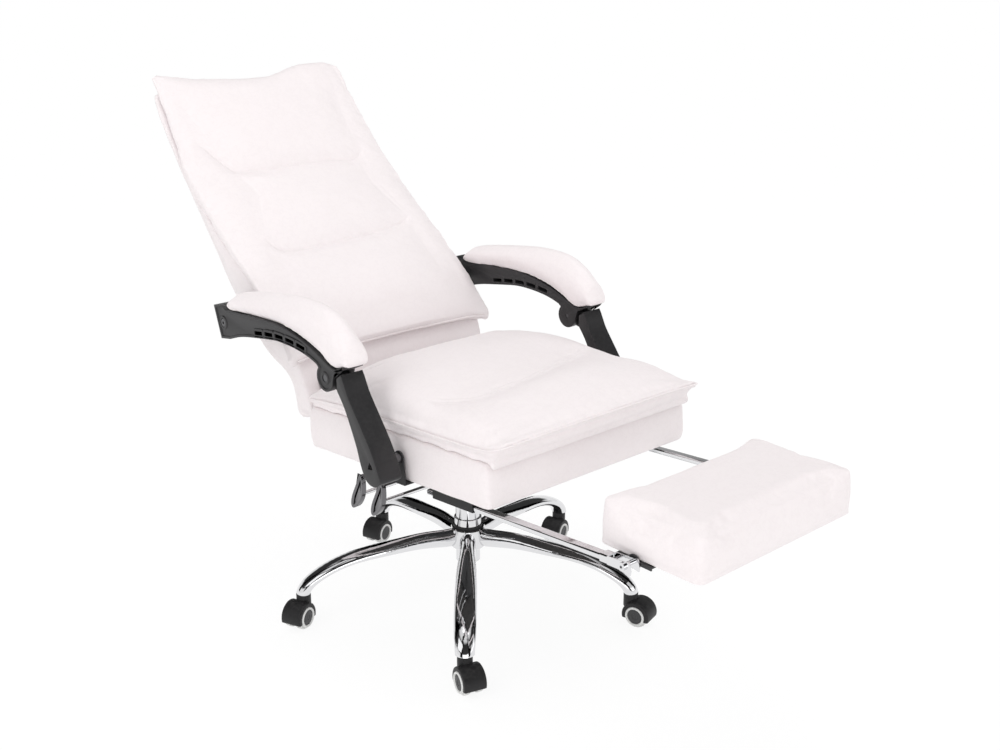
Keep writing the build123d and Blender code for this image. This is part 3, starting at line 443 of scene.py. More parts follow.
# Climbs from the seat, so that the sitter's side is on the line's left and heights grow towards it
BACK_CORNERS = (
    (200, 396),
    (214, 442),
    (238, 508),
    (300, 569),
    (360, 622),
    (472, 707),
    (570, 785),
    (665, 882),
    (754, 992),
    (784, 1030),
)
GUIDE_START = 60.0  # the seat's guides start this far ahead of its front edge
GUIDE_END = 620.0  # and end this far behind it
SEAT_UNDERSIDE = Guide([on_seat(-GUIDE_START, 0), on_seat(GUIDE_END, 0)])
SEAT_PAD_REST = Guide([on_seat(-GUIDE_START, SEAT_THICK), on_seat(GUIDE_END, SEAT_THICK)])
BACK_REST = Guide(BACK_CORNERS)
REST_UNDERSIDE = Guide([(-800, 391), (-500, 391)])


# ---------------------------------------------------------------- finishes


CASTERS = range(1, 6)


class Finish(Enum):
    """The finishes this chair has, by the record's material slot that each belongs to."""

    LEATHER = "upholstery"
    CHROME = "polished_chrome"
    SMOKED = "smoked_chrome"
    ARM = "arm_plastic"
    BLACK = "black_plastic"
    TREAD = "white_tread"
    WHEEL = "wheel_grey"
    BOLT = "bolt_steel"
    STEEL = "black_steel"
    NYLON = "nylon"
    BOARD = "board"


Socket = bpy.types.NodeSocket
Tree = bpy.types.NodeTree


def node_in(tree: Tree, kind: str, **settings: object) -> bpy.types.Node:
    """Adds a node of this kind to a tree with these attributes set."""
    made = tree.nodes.new(kind)
    for name, value in settings.items():
        setattr(made, name, value)
    return made


def wire(tree: Tree, start: Socket, end: Socket) -> None:
    """Links one socket to another."""
    tree.links.new(start, end)


def calculate(
    tree: Tree, operation: str, first: Socket, second: Socket | float, clamp: bool = False
) -> Socket:
    """Adds a Math node to a tree and returns what it puts out."""
    made = node_in(tree, "ShaderNodeMath", operation=operation, use_clamp=clamp)
    wire(tree, first, made.inputs[0])
    if isinstance(second, (int, float)):
        made.inputs[1].default_value = second
    else:
        wire(tree, second, made.inputs[1])
    return made.outputs[0]


def ramp(tree: Tree, value: Socket, low: float, high: float) -> Socket:
    """Adds a smooth Map Range from low..high to 0..1 and returns what it puts out."""
    made = node_in(tree, "ShaderNodeMapRange", interpolation_type="SMOOTHSTEP")
    made.inputs["From Min"].default_value = low
    made.inputs["From Max"].default_value = high
    wire(tree, value, made.inputs["Value"])
    return made.outputs["Result"]


def new_group(name: str, numbers: dict[str, float], outputs: Sequence[str]) -> tuple[Tree, Socket, Socket]:
    """Starts a shader node group that reads a vector and some numbers.

    Args:
        name: the group's name.
        numbers: its number inputs with their defaults.
        outputs: its number outputs.

    Returns:
        The group, its input node's outputs and its output node's inputs.
    """
    group = bpy.data.node_groups.new(name, "ShaderNodeTree")
    group.interface.new_socket("Vector", in_out="INPUT", socket_type="NodeSocketVector")
    for label, value in numbers.items():
        entry = group.interface.new_socket(label, in_out="INPUT", socket_type="NodeSocketFloat")
        entry.default_value = value
    for label in outputs:
        group.interface.new_socket(label, in_out="OUTPUT", socket_type="NodeSocketFloat")
    start = node_in(group, "NodeGroupInput")
    end = node_in(group, "NodeGroupOutput")
    return group, start.outputs, end.inputs


def noise_in(tree: Tree, vector: Socket, scale: Socket | float, detail: float, rough: float = 0.55) -> Socket:
    """Adds a Noise Texture and returns its value."""
    made = node_in(tree, "ShaderNodeTexNoise")
    wire(tree, vector, made.inputs["Vector"])
    if isinstance(scale, (int, float)):
        made.inputs["Scale"].default_value = scale
    else:
        wire(tree, scale, made.inputs["Scale"])
    made.inputs["Detail"].default_value = detail
    made.inputs["Roughness"].default_value = rough
    return made.outputs["Fac"]


def build_pebble() -> Tree:
    """Pebbled leather grain: small cells, fine creases between them and broad slack patches; its Crease
    output also marks where the leather's colour is darkened as painted shade.
    """
    group, start, end = new_group("pebbled_grain", {"Cells": 900.0, "Creases": 0.35}, ("Height", "Crease"))
    cells = node_in(group, "ShaderNodeTexVoronoi", feature="DISTANCE_TO_EDGE")
    bent = node_in(group, "ShaderNodeVectorMath", operation="ADD")
    drift = node_in(group, "ShaderNodeTexNoise")
    drift.inputs["Scale"].default_value = 260.0
    shrink = node_in(group, "ShaderNodeVectorMath", operation="SCALE")
    shrink.inputs["Scale"].default_value = 0.0011
    wire(group, start["Vector"], drift.inputs["Vector"])
    wire(group, drift.outputs["Color"], shrink.inputs[0])
    wire(group, start["Vector"], bent.inputs[0])
    wire(group, shrink.outputs[0], bent.inputs[1])
    wire(group, bent.outputs[0], cells.inputs["Vector"])
    wire(group, start["Cells"], cells.inputs["Scale"])
    pillow = ramp(group, cells.outputs["Distance"], 0.0, 0.32)
    folds = noise_in(group, start["Vector"], 55.0, 5.0, 0.6)
    ridge = calculate(group, "ABSOLUTE", calculate(group, "SUBTRACT", folds, 0.5), 0.0)
    crease = ramp(group, ridge, 0.0, 0.05)
    lines = calculate(group, "MULTIPLY", crease, start["Creases"])
    wire(group, calculate(group, "ADD", pillow, lines), end["Height"])
    wire(group, crease, end["Crease"])
    return group


def build_clouds() -> Tree:
    """Broad, soft changes of tone, as hide and paint have."""
    group, start, end = new_group("soft_clouds", {"Scale": 6.0, "Contrast": 1.0}, ("Mask",))
    base = noise_in(group, start["Vector"], start["Scale"], 4.0, 0.6)
    spread = calculate(group, "MULTIPLY", calculate(group, "SUBTRACT", base, 0.5), start["Contrast"])
    wire(group, calculate(group, "ADD", spread, 0.5, clamp=True), end["Mask"])
    return group


def build_dust() -> Tree:
    """A thin film of dust that lies on what faces up."""
    group, start, end = new_group("settled_dust", {"Amount": 0.3}, ("Mask",))
    facing = node_in(group, "ShaderNodeNewGeometry")
    split = node_in(group, "ShaderNodeSeparateXYZ")
    wire(group, facing.outputs["Normal"], split.inputs[0])
    up = ramp(group, split.outputs["Z"], 0.25, 0.95)
    film = ramp(group, noise_in(group, start["Vector"], 140.0, 5.0, 0.65), 0.35, 0.75)
    both = calculate(group, "MULTIPLY", up, film)
    wire(group, calculate(group, "MULTIPLY", both, start["Amount"], clamp=True), end["Mask"])
    return group


def build_smudges() -> Tree:
    """Faint wiping marks on plated metal, as a mask."""
    group, start, end = new_group("wiping_marks", {"Scale": 24.0}, ("Mask",))
    stretched = node_in(group, "ShaderNodeMapping")
    stretched.inputs["Scale"].default_value = (1.0, 1.0, 4.0)
    wire(group, start["Vector"], stretched.inputs["Vector"])
    marks = noise_in(group, stretched.outputs[0], start["Scale"], 6.0, 0.7)
    wire(group, ramp(group, marks, 0.45, 0.8), end["Mask"])
    return group


def build_texture_skin() -> Tree:
    """The fine spark-eroded texture of moulded plastic, as a height."""
    group, start, end = new_group("moulded_texture", {"Scale": 1600.0}, ("Height",))
    fine = noise_in(group, start["Vector"], start["Scale"], 2.0, 0.7)
    broad = noise_in(group, start["Vector"], 420.0, 2.0, 0.5)
    wire(group, calculate(group, "ADD", fine, calculate(group, "MULTIPLY", broad, 0.6)), end["Height"])
    return group


class Effects:
    """The node groups that several finishes share, each built once."""

    def __init__(self) -> None:
        """Builds the groups."""
        self.pebble = build_pebble()
        self.clouds = build_clouds()
        self.dust = build_dust()
        self.smudges = build_smudges()
        self.moulded = build_texture_skin()


@dataclass(frozen=True)
class Coat:
    """What a finish is made of: two tones that a mask mixes, its gloss and its surface relief."""

    tone: tuple[float, float, float]
    other_tone: tuple[float, float, float]
    roughness: float
    roughness_spread: float = 0.0
    metallic: float = 0.0
    specular: float = 0.5
    coat: float = 0.0
    sheen: float = 0.0
    dust: float = 0.0
    relief: float = 0.0  # bump distance in metres
    relief_strength: float = 1.0
    cloud_scale: float = 6.0
    leathery: bool = False
    plated: bool = False
    drawn_out: tuple[float, float, float] = (1.0, 1.0, 1.0)  # pattern's scale by axis, low along a grain

    def paint(self, name: str, effects: Effects) -> bpy.types.Material:
        """Builds the finish as a material.

        Args:
            name: the material's name.
            effects: the shared node groups.

        Returns:
            The material, with its pattern on object coordinates.
        """
        material = bpy.data.materials.new(name)
        material.use_nodes = True
        tree = material.node_tree
        shader = next(n for n in tree.nodes if n.type == "BSDF_PRINCIPLED")
        where = node_in(tree, "ShaderNodeTexCoord").outputs["Object"]
        material.diffuse_color = (*self.tone, 1.0)
        shader.inputs["Roughness"].default_value = self.roughness
        shader.inputs["Metallic"].default_value = self.metallic
        shader.inputs["Specular IOR Level"].default_value = self.specular
        shader.inputs["Coat Weight"].default_value = self.coat
        shader.inputs["Coat Roughness"].default_value = 0.12
        shader.inputs["Sheen Weight"].default_value = self.sheen
        shader.inputs["Sheen Roughness"].default_value = 0.6

        grain = node_in(tree, "ShaderNodeMapping")
        grain.inputs["Scale"].default_value = self.drawn_out
        wire(tree, where, grain.inputs["Vector"])
        clouds = self._use(tree, effects.clouds, grain.outputs[0], Scale=self.cloud_scale, Contrast=1.6)
        mask = clouds.outputs["Mask"]
        blend = node_in(tree, "ShaderNodeMix", data_type="RGBA")
        blend.inputs[6].default_value = (*self.tone, 1.0)
        blend.inputs[7].default_value = (*self.other_tone, 1.0)
        wire(tree, mask, blend.inputs[0])
        colour = blend.outputs[2]

        height = None
        if self.leathery:
            pebble = self._use(tree, effects.pebble, where, Cells=760.0, Creases=0.5)
            height = pebble.outputs["Height"]
            # painted shade: the leather's colour is darkened along the grain's creases, as if shade fell in
            # them
            crease_shade = node_in(tree, "ShaderNodeMix", data_type="RGBA")
            crease_shade.inputs[7].default_value = (*self.tone, 1.0)
            crease_shade.inputs[6].default_value = (*(0.965 * part for part in self.other_tone), 1.0)
            wire(tree, pebble.outputs["Crease"], crease_shade.inputs[0])
            even = node_in(tree, "ShaderNodeMix", data_type="RGBA")
            even.inputs[0].default_value = 0.35
            wire(tree, colour, even.inputs[6])
            wire(tree, crease_shade.outputs[2], even.inputs[7])
            colour = even.outputs[2]
        elif self.relief > 0:
            height = self._use(tree, effects.moulded, where).outputs["Height"]
        if self.plated:
            mask = self._use(tree, effects.smudges, where).outputs["Mask"]
        if self.dust > 0:
            film = self._use(tree, effects.dust, where, Amount=self.dust)
            dusty = node_in(tree, "ShaderNodeMix", data_type="RGBA")
            dusty.inputs[7].default_value = (0.42, 0.41, 0.4, 1.0)
            wire(tree, film.outputs["Mask"], dusty.inputs[0])
            wire(tree, colour, dusty.inputs[6])
            colour = dusty.outputs[2]
        wire(tree, colour, shader.inputs["Base Color"])
        if self.roughness_spread > 0:
            gloss = node_in(tree, "ShaderNodeMapRange")
            gloss.inputs["To Min"].default_value = self.roughness
            gloss.inputs["To Max"].default_value = self.roughness + self.roughness_spread
            wire(tree, mask, gloss.inputs["Value"])
            wire(tree, gloss.outputs["Result"], shader.inputs["Roughness"])
        if height is not None:
            bump = node_in(tree, "ShaderNodeBump")
            bump.inputs["Strength"].default_value = self.relief_strength
            bump.inputs["Distance"].default_value = self.relief
            wire(tree, height, bump.inputs["Height"])
            wire(tree, bump.outputs["Normal"], shader.inputs["Normal"])
        return material

    @staticmethod
    def _use(tree: Tree, group: Tree, vector: Socket, **numbers: float) -> bpy.types.Node:
        """Places a group in a material, fed with a vector and these numbers."""
        placed = node_in(tree, "ShaderNodeGroup", node_tree=group)
        wire(tree, vector, placed.inputs["Vector"])
        for label, value in numbers.items():
            placed.inputs[label].default_value = value
        return placed


COATS: dict[Finish, Coat] = {
    Finish.LEATHER: Coat(
        tone=(0.905, 0.848, 0.853),
        other_tone=(0.885, 0.822, 0.829),
        roughness=0.46,
        roughness_spread=0.12,
        specular=0.42,
        sheen=0.05,
        relief=0.00022,
        relief_strength=0.55,
        cloud_scale=9.0,
        leathery=True,
    ),
    Finish.CHROME: Coat(
        tone=(0.78, 0.78, 0.79),
        other_tone=(0.74, 0.74, 0.755),
        roughness=0.045,
        roughness_spread=0.09,
        metallic=1.0,
        plated=True,
    ),
    Finish.SMOKED: Coat(
        tone=(0.2, 0.195, 0.205),
        other_tone=(0.14, 0.137, 0.143),
        roughness=0.16,
        roughness_spread=0.1,
        metallic=1.0,
        plated=True,
    ),
    Finish.ARM: Coat(
        tone=(0.017, 0.0162, 0.0176),
        other_tone=(0.024, 0.0232, 0.0247),
        roughness=0.36,
        roughness_spread=0.1,
        specular=0.42,
        dust=0.05,
        relief=0.00006,
        relief_strength=0.5,
    ),
    Finish.BLACK: Coat(
        tone=(0.011, 0.0105, 0.0115),
        other_tone=(0.016, 0.0155, 0.0165),
        roughness=0.4,
        roughness_spread=0.12,
        specular=0.32,
        dust=0.05,
        relief=0.00005,
        relief_strength=0.5,
    ),
    Finish.TREAD: Coat(
        tone=(0.78, 0.78, 0.77),
        other_tone=(0.7, 0.7, 0.69),
        roughness=0.4,
        roughness_spread=0.15,
        relief=0.00004,
    ),
    Finish.WHEEL: Coat(
        tone=(0.026, 0.0255, 0.028),
        other_tone=(0.036, 0.0355, 0.038),
        roughness=0.38,
        roughness_spread=0.1,
        relief=0.00004,
    ),
    Finish.BOLT: Coat(
        tone=(0.1, 0.1, 0.105),
        other_tone=(0.14, 0.14, 0.145),
        roughness=0.28,
        roughness_spread=0.15,
        metallic=0.9,
        plated=True,
    ),
    Finish.STEEL: Coat(
        tone=(0.018, 0.018, 0.019),
        other_tone=(0.028, 0.028, 0.03),
        roughness=0.42,
        roughness_spread=0.12,
        dust=0.08,
        relief=0.00008,
        relief_strength=0.6,
    ),
    Finish.NYLON: Coat(
        tone=(0.02, 0.02, 0.021),
        other_tone=(0.03, 0.03, 0.031),
        roughness=0.5,
        roughness_spread=0.1,
        relief=0.00004,
    ),
    Finish.BOARD: Coat(
        tone=(0.03, 0.028, 0.027),
        other_tone=(0.055, 0.052, 0.05),
        roughness=0.7,
        roughness_spread=0.15,
        dust=0.05,
        relief=0.0002,
        cloud_scale=38.0,
        drawn_out=(1.0, 0.06, 1.0),
    ),
}


class PaintShop:
    """Holds one material for each finish and puts them on pieces."""

    def __init__(self) -> None:
        """Builds every finish."""
        effects = Effects()
        self.materials = {finish: coat.paint(finish.value, effects) for finish, coat in COATS.items()}

    def dress(self, obj: bpy.types.Object, finish: Finish) -> None:
        """Gives a new piece its finish and names the record's slot it comes from."""
        obj.data.materials.clear()
        obj.data.materials.append(self.materials[finish])

    def dress_node(self, node: str, finish: Finish) -> None:
        """Gives a CAD node that stays in view its finish, in the slots it has."""
        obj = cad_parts[node]
        if not obj.data.materials:
            obj.data.materials.append(None)
        for index in range(len(obj.data.materials)):
            obj.data.materials[index] = self.materials[finish]


# ---------------------------------------------------------------- stuffed leather


LINE_STEP = 3.0  # distance between the points of a seam or channel
SEAM_HOLD = (15.0, 9.0)  # how far from it a seam holds the leather, and over what distance that fades
SEAM_WIDTH = 3.6
VALLEY_WIDTH = 3.2
HOLD_LEVELS = 10  # steps in which a point may be held


@dataclass(frozen=True)
class Stuffing:
    """How the cloth simulation treats the leather."""

    quality: int = 4
    mass: float = 0.3
    stretch: float = 12.0
    shear: float = 6.0
    bending: float = 0.8
    frames: int = 20


STUFFING = Stuffing()


@dataclass
class Channel:
    """A line sewn or creased into a pad's face, given as (sideways, along) in millimetres."""

    corners: Sequence[tuple[float, float]]
    depth: float
    width: float
    fade: float = 0.14  # share of the line over which each end runs out
    core: float = 1.6  # extra depth of the narrow valley at its bottom

    def line(self) -> Points:
        """The line's points."""
        return smooth_line(self.corners, LINE_STEP)

    def strength(self, places: Points) -> tuple[np.ndarray, np.ndarray, np.ndarray]:
        """How strongly each place is drawn in.

        Args:
            places: (sideways, along) of each point.

        Returns:
            The distance from the line, the share of full depth that its run-out allows there, and the
            number of the nearest point of the line.
        """
        line = self.line()
        far, which = nearest(places, line)
        along = which / (len(line) - 1)
        run_out = ease(np.minimum(along, 1 - along) / self.fade) if self.fade else np.ones(len(far))
        return far, run_out, which


@dataclass
class Seam:
    """A sewn edge given as (sideways, along, height) in the pad's own measures."""

    corners: Sequence[tuple[float, float, float]]
    pinch: float = 1.6
    puckers: float = 1.2

    def line(self) -> Points:
        """The seam's points, straight from corner to corner."""
        return straight_line(self.corners, LINE_STEP)


@dataclass
class Pad:
    """One stuffed leather piece, made from the CAD solid that it stands for."""

    node: str
    body: str
    guide: Guide
    voxel: float = 5.5
    draw_in: float = 4.0
    pressure: float = 4.0
    cap: float = 14.0
    fill: float = 0.7
    resting: Callable[[np.ndarray, np.ndarray, np.ndarray], np.ndarray] | None = None
    shape: Callable[[np.ndarray, np.ndarray, np.ndarray], tuple[np.ndarray, ...]] | None = None
    channels: Sequence[Channel] = field(default_factory=tuple)
    seams: Sequence[Seam] = field(default_factory=tuple)
    face: Callable[[np.ndarray, np.ndarray, np.ndarray], np.ndarray] | None = None
    solid: Callable[[], bpy.types.Object] | None = None  # makes the filling's solid, else the node's copy
    slack: float = 0.8
    seed: float = 3.0
    smooth_rounds: int = 4

    def make(self, shop: PaintShop) -> bpy.types.Object:
        """Builds the pad and hands it over, ready to ride on its body.

        Args:
            shop: what dresses it.

        Returns:
            The finished pad.
        """
        obj = self.solid() if self.solid is not None else cad_copy(self.node, "")
        obj.name = f"{self.node}_leather"
        if self.shape is not None:
            self._reshape(obj)
        voxel_skin(obj, self.voxel)
        relax(obj, self.smooth_rounds)
        held = self._prepare(obj)
        self._blow_up(obj, held)
        relax(obj, 1)
        subdivide(obj)
        self._finish_surface(obj)
        shade(obj, 180.0)
        shop.dress(obj, Finish.LEATHER)
        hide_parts(self.node)
        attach(obj, self.body)
        log.info("%s: %d faces", obj.name, len(obj.data.polygons))
        return obj

    def _reshape(self, obj: bpy.types.Object) -> None:
        """Moves the copied solid's points as the pad's own shape function says."""
        with whole_mesh(obj):
            bpy.ops.mesh.quads_convert_to_tris()
            bpy.ops.mesh.subdivide(number_cuts=1)
        voxel_skin(obj, self.voxel)
        points = points_of(obj)
        side, along, height, which = self.guide.locate(points)
        shifts = self.shape(side, along, height)
        put_points(obj, self.guide.moved(points, which, *shifts))

    def _held(self, side: np.ndarray, along: np.ndarray, height: np.ndarray) -> np.ndarray:
        """How firmly each point is held while the pad is blown up, from 0 to 1."""
        held = np.zeros(len(side))
        if self.resting is not None:
            held = np.maximum(held, self.resting(side, along, height))
        for seam in self.seams:
            far, _ = nearest(np.column_stack([side, along, height]), seam.line())
            held = np.maximum(held, ease((SEAM_HOLD[0] - far) / SEAM_HOLD[1]))
        on_face = self._on_face(side, along, height)
        for channel in self.channels:
            far, run_out, _ = channel.strength(np.column_stack([side, along]))
            share = min(1.0, channel.depth / 10.0)
            held = np.maximum(held, on_face * share * run_out * ease((channel.width * 0.9 - far) / 6.0))
        return held

    def _on_face(self, side: np.ndarray, along: np.ndarray, height: np.ndarray) -> np.ndarray:
        """1 on the pad's sewn face and 0 elsewhere."""
        if self.face is None:
            return np.ones(len(side))
        return self.face(side, along, height)

    def _prepare(self, obj: bpy.types.Object) -> np.ndarray:
        """Draws the free faces in a little, presses the channels, and says what is held.

        Args:
            obj: the pad's skin.

        Returns:
            How firmly each point is held, from 0 to 1.
        """
        points = points_of(obj)
        normals = normals_of(obj)
        side, along, height, which = self.guide.locate(points)
        held = self._held(side, along, height)
        resting = self.resting(side, along, height) if self.resting is not None else np.zeros(len(side))
        free = 1.0 - held
        points = points - normals * (free * self.draw_in * MM)[:, None]
        on_face = self._on_face(side, along, height) * (1.0 - resting)
        press = np.zeros(len(side))
        for channel in self.channels:
            far, run_out, _ = channel.strength(np.column_stack([side, along]))
            press = np.maximum(press, channel.depth * run_out * bell(far, channel.width))
        still = np.zeros(len(side))
        put_points(obj, self.guide.moved(points, which, still, still, -press * on_face))
        return held

    def _blow_up(self, obj: bpy.types.Object, held: np.ndarray) -> None:
        """Swells the pad as stuffed cloth and keeps every point within the cap."""
        group = obj.vertex_groups.new(name="held")
        for level in range(1, HOLD_LEVELS + 1):
            rows = np.nonzero(np.round(held * HOLD_LEVELS) == level)[0]
            if len(rows):
                group.add([int(row) for row in rows], level / HOLD_LEVELS, "REPLACE")
        cloth = obj.modifiers.new("stuffing", "CLOTH")
        settings = cloth.settings
        settings.quality = STUFFING.quality
        settings.mass = STUFFING.mass
        settings.tension_stiffness = settings.compression_stiffness = STUFFING.stretch
        settings.shear_stiffness = STUFFING.shear
        settings.bending_stiffness = STUFFING.bending
        settings.use_pressure = True
        settings.uniform_pressure_force = self.pressure
        settings.vertex_group_mass = "held"
        settings.effector_weights.gravity = 0.0
        cloth.collision_settings.use_collision = False
        cloth.point_cache.frame_start = 1
        cloth.point_cache.frame_end = STUFFING.frames
        start = points_of(obj)
        for step in range(1, STUFFING.frames + 1):
            bpy.context.scene.frame_set(step)
        blown = obj.evaluated_get(bpy.context.evaluated_depsgraph_get())
        end = np.empty(len(start) * 3)
        blown.data.vertices.foreach_get("co", end)
        bpy.context.scene.frame_set(1)
        obj.modifiers.remove(cloth)
        obj.vertex_groups.clear()
        shift = end.reshape(-1, 3) - start
        length = np.linalg.norm(shift, axis=1)
        held_back = np.minimum(1.0, self.cap * MM / np.maximum(length, 1e-9))
        put_points(obj, start + shift * held_back[:, None])
        log.info(
            "%s: blown up by %.1f mm at most, %.1f mm on average",
            self.node,
            length.max() / MM,
            length.mean() / MM,
        )

    def _finish_surface(self, obj: bpy.types.Object) -> None:
        """Adds seam pinches, puckers, the channels' narrow valleys and the leather's slack."""
        points = points_of(obj)
        normals = normals_of(obj)
        side, along, height, _ = self.guide.locate(points)
        own = np.column_stack([side, along, height])
        lift = np.zeros(len(side))
        resting = self.resting(side, along, height) if self.resting is not None else np.zeros(len(side))
        free = 1.0 - resting
        on_face = self._on_face(side, along, height)
        lift += self.slack * soft_noise(points / MM, 70.0, self.seed)
        lift += 0.4 * self.slack * soft_noise(points / MM, 26.0, self.seed + 5)
        for number, seam in enumerate(self.seams):
            line = seam.line()
            far, near = nearest(own, line)
            run = near * LINE_STEP
            lift -= seam.pinch * bell(far, SEAM_WIDTH)
            folds = soft_noise(np.column_stack([run, far * 0.16]), 11.0, self.seed + number)
            broad = soft_noise(np.column_stack([run, far * 0.2]), 31.0, self.seed + 9 + number)
            reach = np.exp(-far / 17.0) * (1 - np.exp(-far / 3.0))
            lift += seam.puckers * reach * (folds + 0.9 * broad) * 1.5
        for number, channel in enumerate(self.channels):
            far, run_out, near = channel.strength(np.column_stack([side, along]))
            run = near * LINE_STEP
            lift -= channel.core * run_out * bell(far, VALLEY_WIDTH) * on_face
            folds = soft_noise(np.column_stack([run, far * 0.22]), 15.0, self.seed + 20 + number)
            reach = np.exp(-far / 20.0) * (1 - np.exp(-far / 4.0)) * run_out
            lift += 0.14 * channel.depth * reach * folds * on_face
        points = points + normals * (lift * free * MM)[:, None]
        put_points(obj, points)


def piping(name: str, line: Iterable[Vector], radius: float) -> bpy.types.Object:
    """Makes a sewn-in cord of leather along a line.

    Args:
        name: the piece's name.
        line: places in metres.
        radius: in millimetres.

    Returns:
        A mesh tube with closed ends, at the origin.
    """
    places = list(line)
    curve = bpy.data.curves.new(name, "CURVE")
    curve.dimensions = "3D"
    curve.bevel_depth = radius * MM
    curve.bevel_resolution = 3
    curve.use_fill_caps = True
    spline = curve.splines.new("POLY")
    spline.points.add(len(places) - 1)
    for point, place in zip(spline.points, places):
        point.co = (*place, 1.0)
    drawn = bpy.data.objects.new(name + "_line", curve)
    bpy.context.scene.collection.objects.link(drawn)
    lone(drawn)
    bpy.ops.object.convert(target="MESH")
    made = bpy.context.object
    made.name = name
    shade(made, 60.0)
    return made


# ---------------------------------------------------------------- the padded pieces


@dataclass(frozen=True)
class Block:
    """An upholstered block in a guide's measures: a box with rounded uprights, fullest half way up."""

    guide: Guide
    start: float
    depth: float
    width: float
    low: float
    high: float
    corner: float
    drawn_in: tuple[float, float]  # how far its bottom and top lie inside its middle
    rim: float = 24.0  # width of the leather turned in under the board
    hollow: float = 4.5  # how much higher the underside lies inside the rim

    def solid(self) -> bpy.types.Object:
        """Models the block from a primitive and lays it along the guide."""
        bpy.ops.object.select_all(action="DESELECT")
        bpy.ops.mesh.primitive_cube_add(size=1.0)
        obj = bpy.context.object
        bpy.ops.object.mode_set(mode="EDIT")
        bpy.ops.transform.resize(value=(self.width, self.depth, self.high - self.low))
        bpy.ops.mesh.select_all(action="DESELECT")
        bpy.ops.object.mode_set(mode="OBJECT")
        points = points_of(obj)
        for edge in obj.data.edges:
            a, b = (points[v] for v in edge.vertices)
            edge.select = abs(a[2] - b[2]) > 1.0
        bpy.ops.object.mode_set(mode="EDIT")
        bpy.ops.mesh.select_mode(type="EDGE")
        bpy.ops.mesh.bevel(offset=self.corner, segments=8, affect="EDGES")
        for height in (-0.35, 0.0, 0.35):
            bpy.ops.mesh.select_all(action="SELECT")
            place = (0.0, 0.0, height * (self.high - self.low))
            bpy.ops.mesh.bisect(plane_co=place, plane_no=(0.0, 0.0, 1.0))
        bpy.ops.object.mode_set(mode="OBJECT")
        points = points_of(obj)
        rise = points[:, 2] / (self.high - self.low) * 2.0
        inset = np.where(rise < 0, self.drawn_in[0], self.drawn_in[1]) * rise**2
        half = np.array([self.width, self.depth]) / 2
        points[:, :2] *= 1.0 - inset[:, None] / half
        own = points + (0.0, self.start + self.depth / 2, (self.low + self.high) / 2)
        put_points(obj, self.guide.laid(own))
        self._hollow_underside(obj)
        return obj

    def _hollow_underside(self, obj: bpy.types.Object) -> None:
        """Turns the leather in under the board's edge, with the underside higher inside that rim."""
        lone(obj)
        for face in obj.data.polygons:
            face.select = face.normal.z < -0.9
        bpy.ops.object.mode_set(mode="EDIT")
        bpy.ops.mesh.select_mode(type="FACE")
        bpy.ops.mesh.inset(thickness=self.rim * MM)
        bpy.ops.transform.translate(value=(0.0, 0.0, self.hollow * MM))
        bpy.ops.object.mode_set(mode="OBJECT")


def seat_front_shape(side: np.ndarray, along: np.ndarray, height: np.ndarray) -> tuple[np.ndarray, ...]:
    """Slants the seat pad's front band down and back to the cushion's edge and waves its rear.

    Args:
        side: sideways place of each point in millimetres.
        along: place along the guide.
        height: height over the base cushion.

    Returns:
        The shifts sideways, along and in height.
    """
    depth = along - GUIDE_START
    ahead = np.clip(-depth / 38.0, 0.0, 1.0)
    under = np.clip(1.0 - height / 34.0, 0.0, 1.0)
    shift_along = 33.0 * ahead * under
    shift_up = -9.0 * ease(ahead * 1.4) * under**2
    shift_up += 4.0 * ahead * ease(height / 20.0) * ease((60.0 - height) / 20.0)
    rear = ease((depth - 440.0) / 90.0) * ease((np.abs(side) - 120.0) / 120.0)
    wave = 7.0 * rear * np.sin(depth / 21.0 + side / 60.0)
    full = ease((depth - 130.0) / 170.0) * ease((540.0 - depth) / 90.0) * ease((height - 10.0) / 55.0)
    shift_up += 15.0 * full * (0.7 + 0.3 * ease((np.abs(side) - 60.0) / 120.0))
    return np.zeros(len(side)), shift_along, shift_up + wave * ease(height / 10.0)


def seat_pad_rests(side: np.ndarray, along: np.ndarray, height: np.ndarray) -> np.ndarray:
    """1 on the seat pad's underside where it lies on the base cushion."""
    return ease((3.0 - height) / 2.5)


def cushion_rests(side: np.ndarray, along: np.ndarray, height: np.ndarray) -> np.ndarray:
    """1 on the base cushion's top and bottom, which the seat pad and the board hold flat."""
    return np.maximum(ease((5.0 - height) / 3.0), ease((height - 78.0) / 3.0))


def back_pad_rests(side: np.ndarray, along: np.ndarray, height: np.ndarray) -> np.ndarray:
    """1 on the back pad's rear face, against the shell."""
    return ease((2.5 - height) / 2.5)


# How far the back pad's top edge lies above or below the solid's, sideways from left to right
BACK_TOP_EDGE = np.array(
    [(-262, 2), (-230, 8), (-150, -6), (-80, -12), (0, -17), (56, -15)]
    + [(95, -4), (120, 5), (150, 12), (215, 16), (250, 4)],
    dtype=float,
)
BACK_PAD_HALF = 262.0


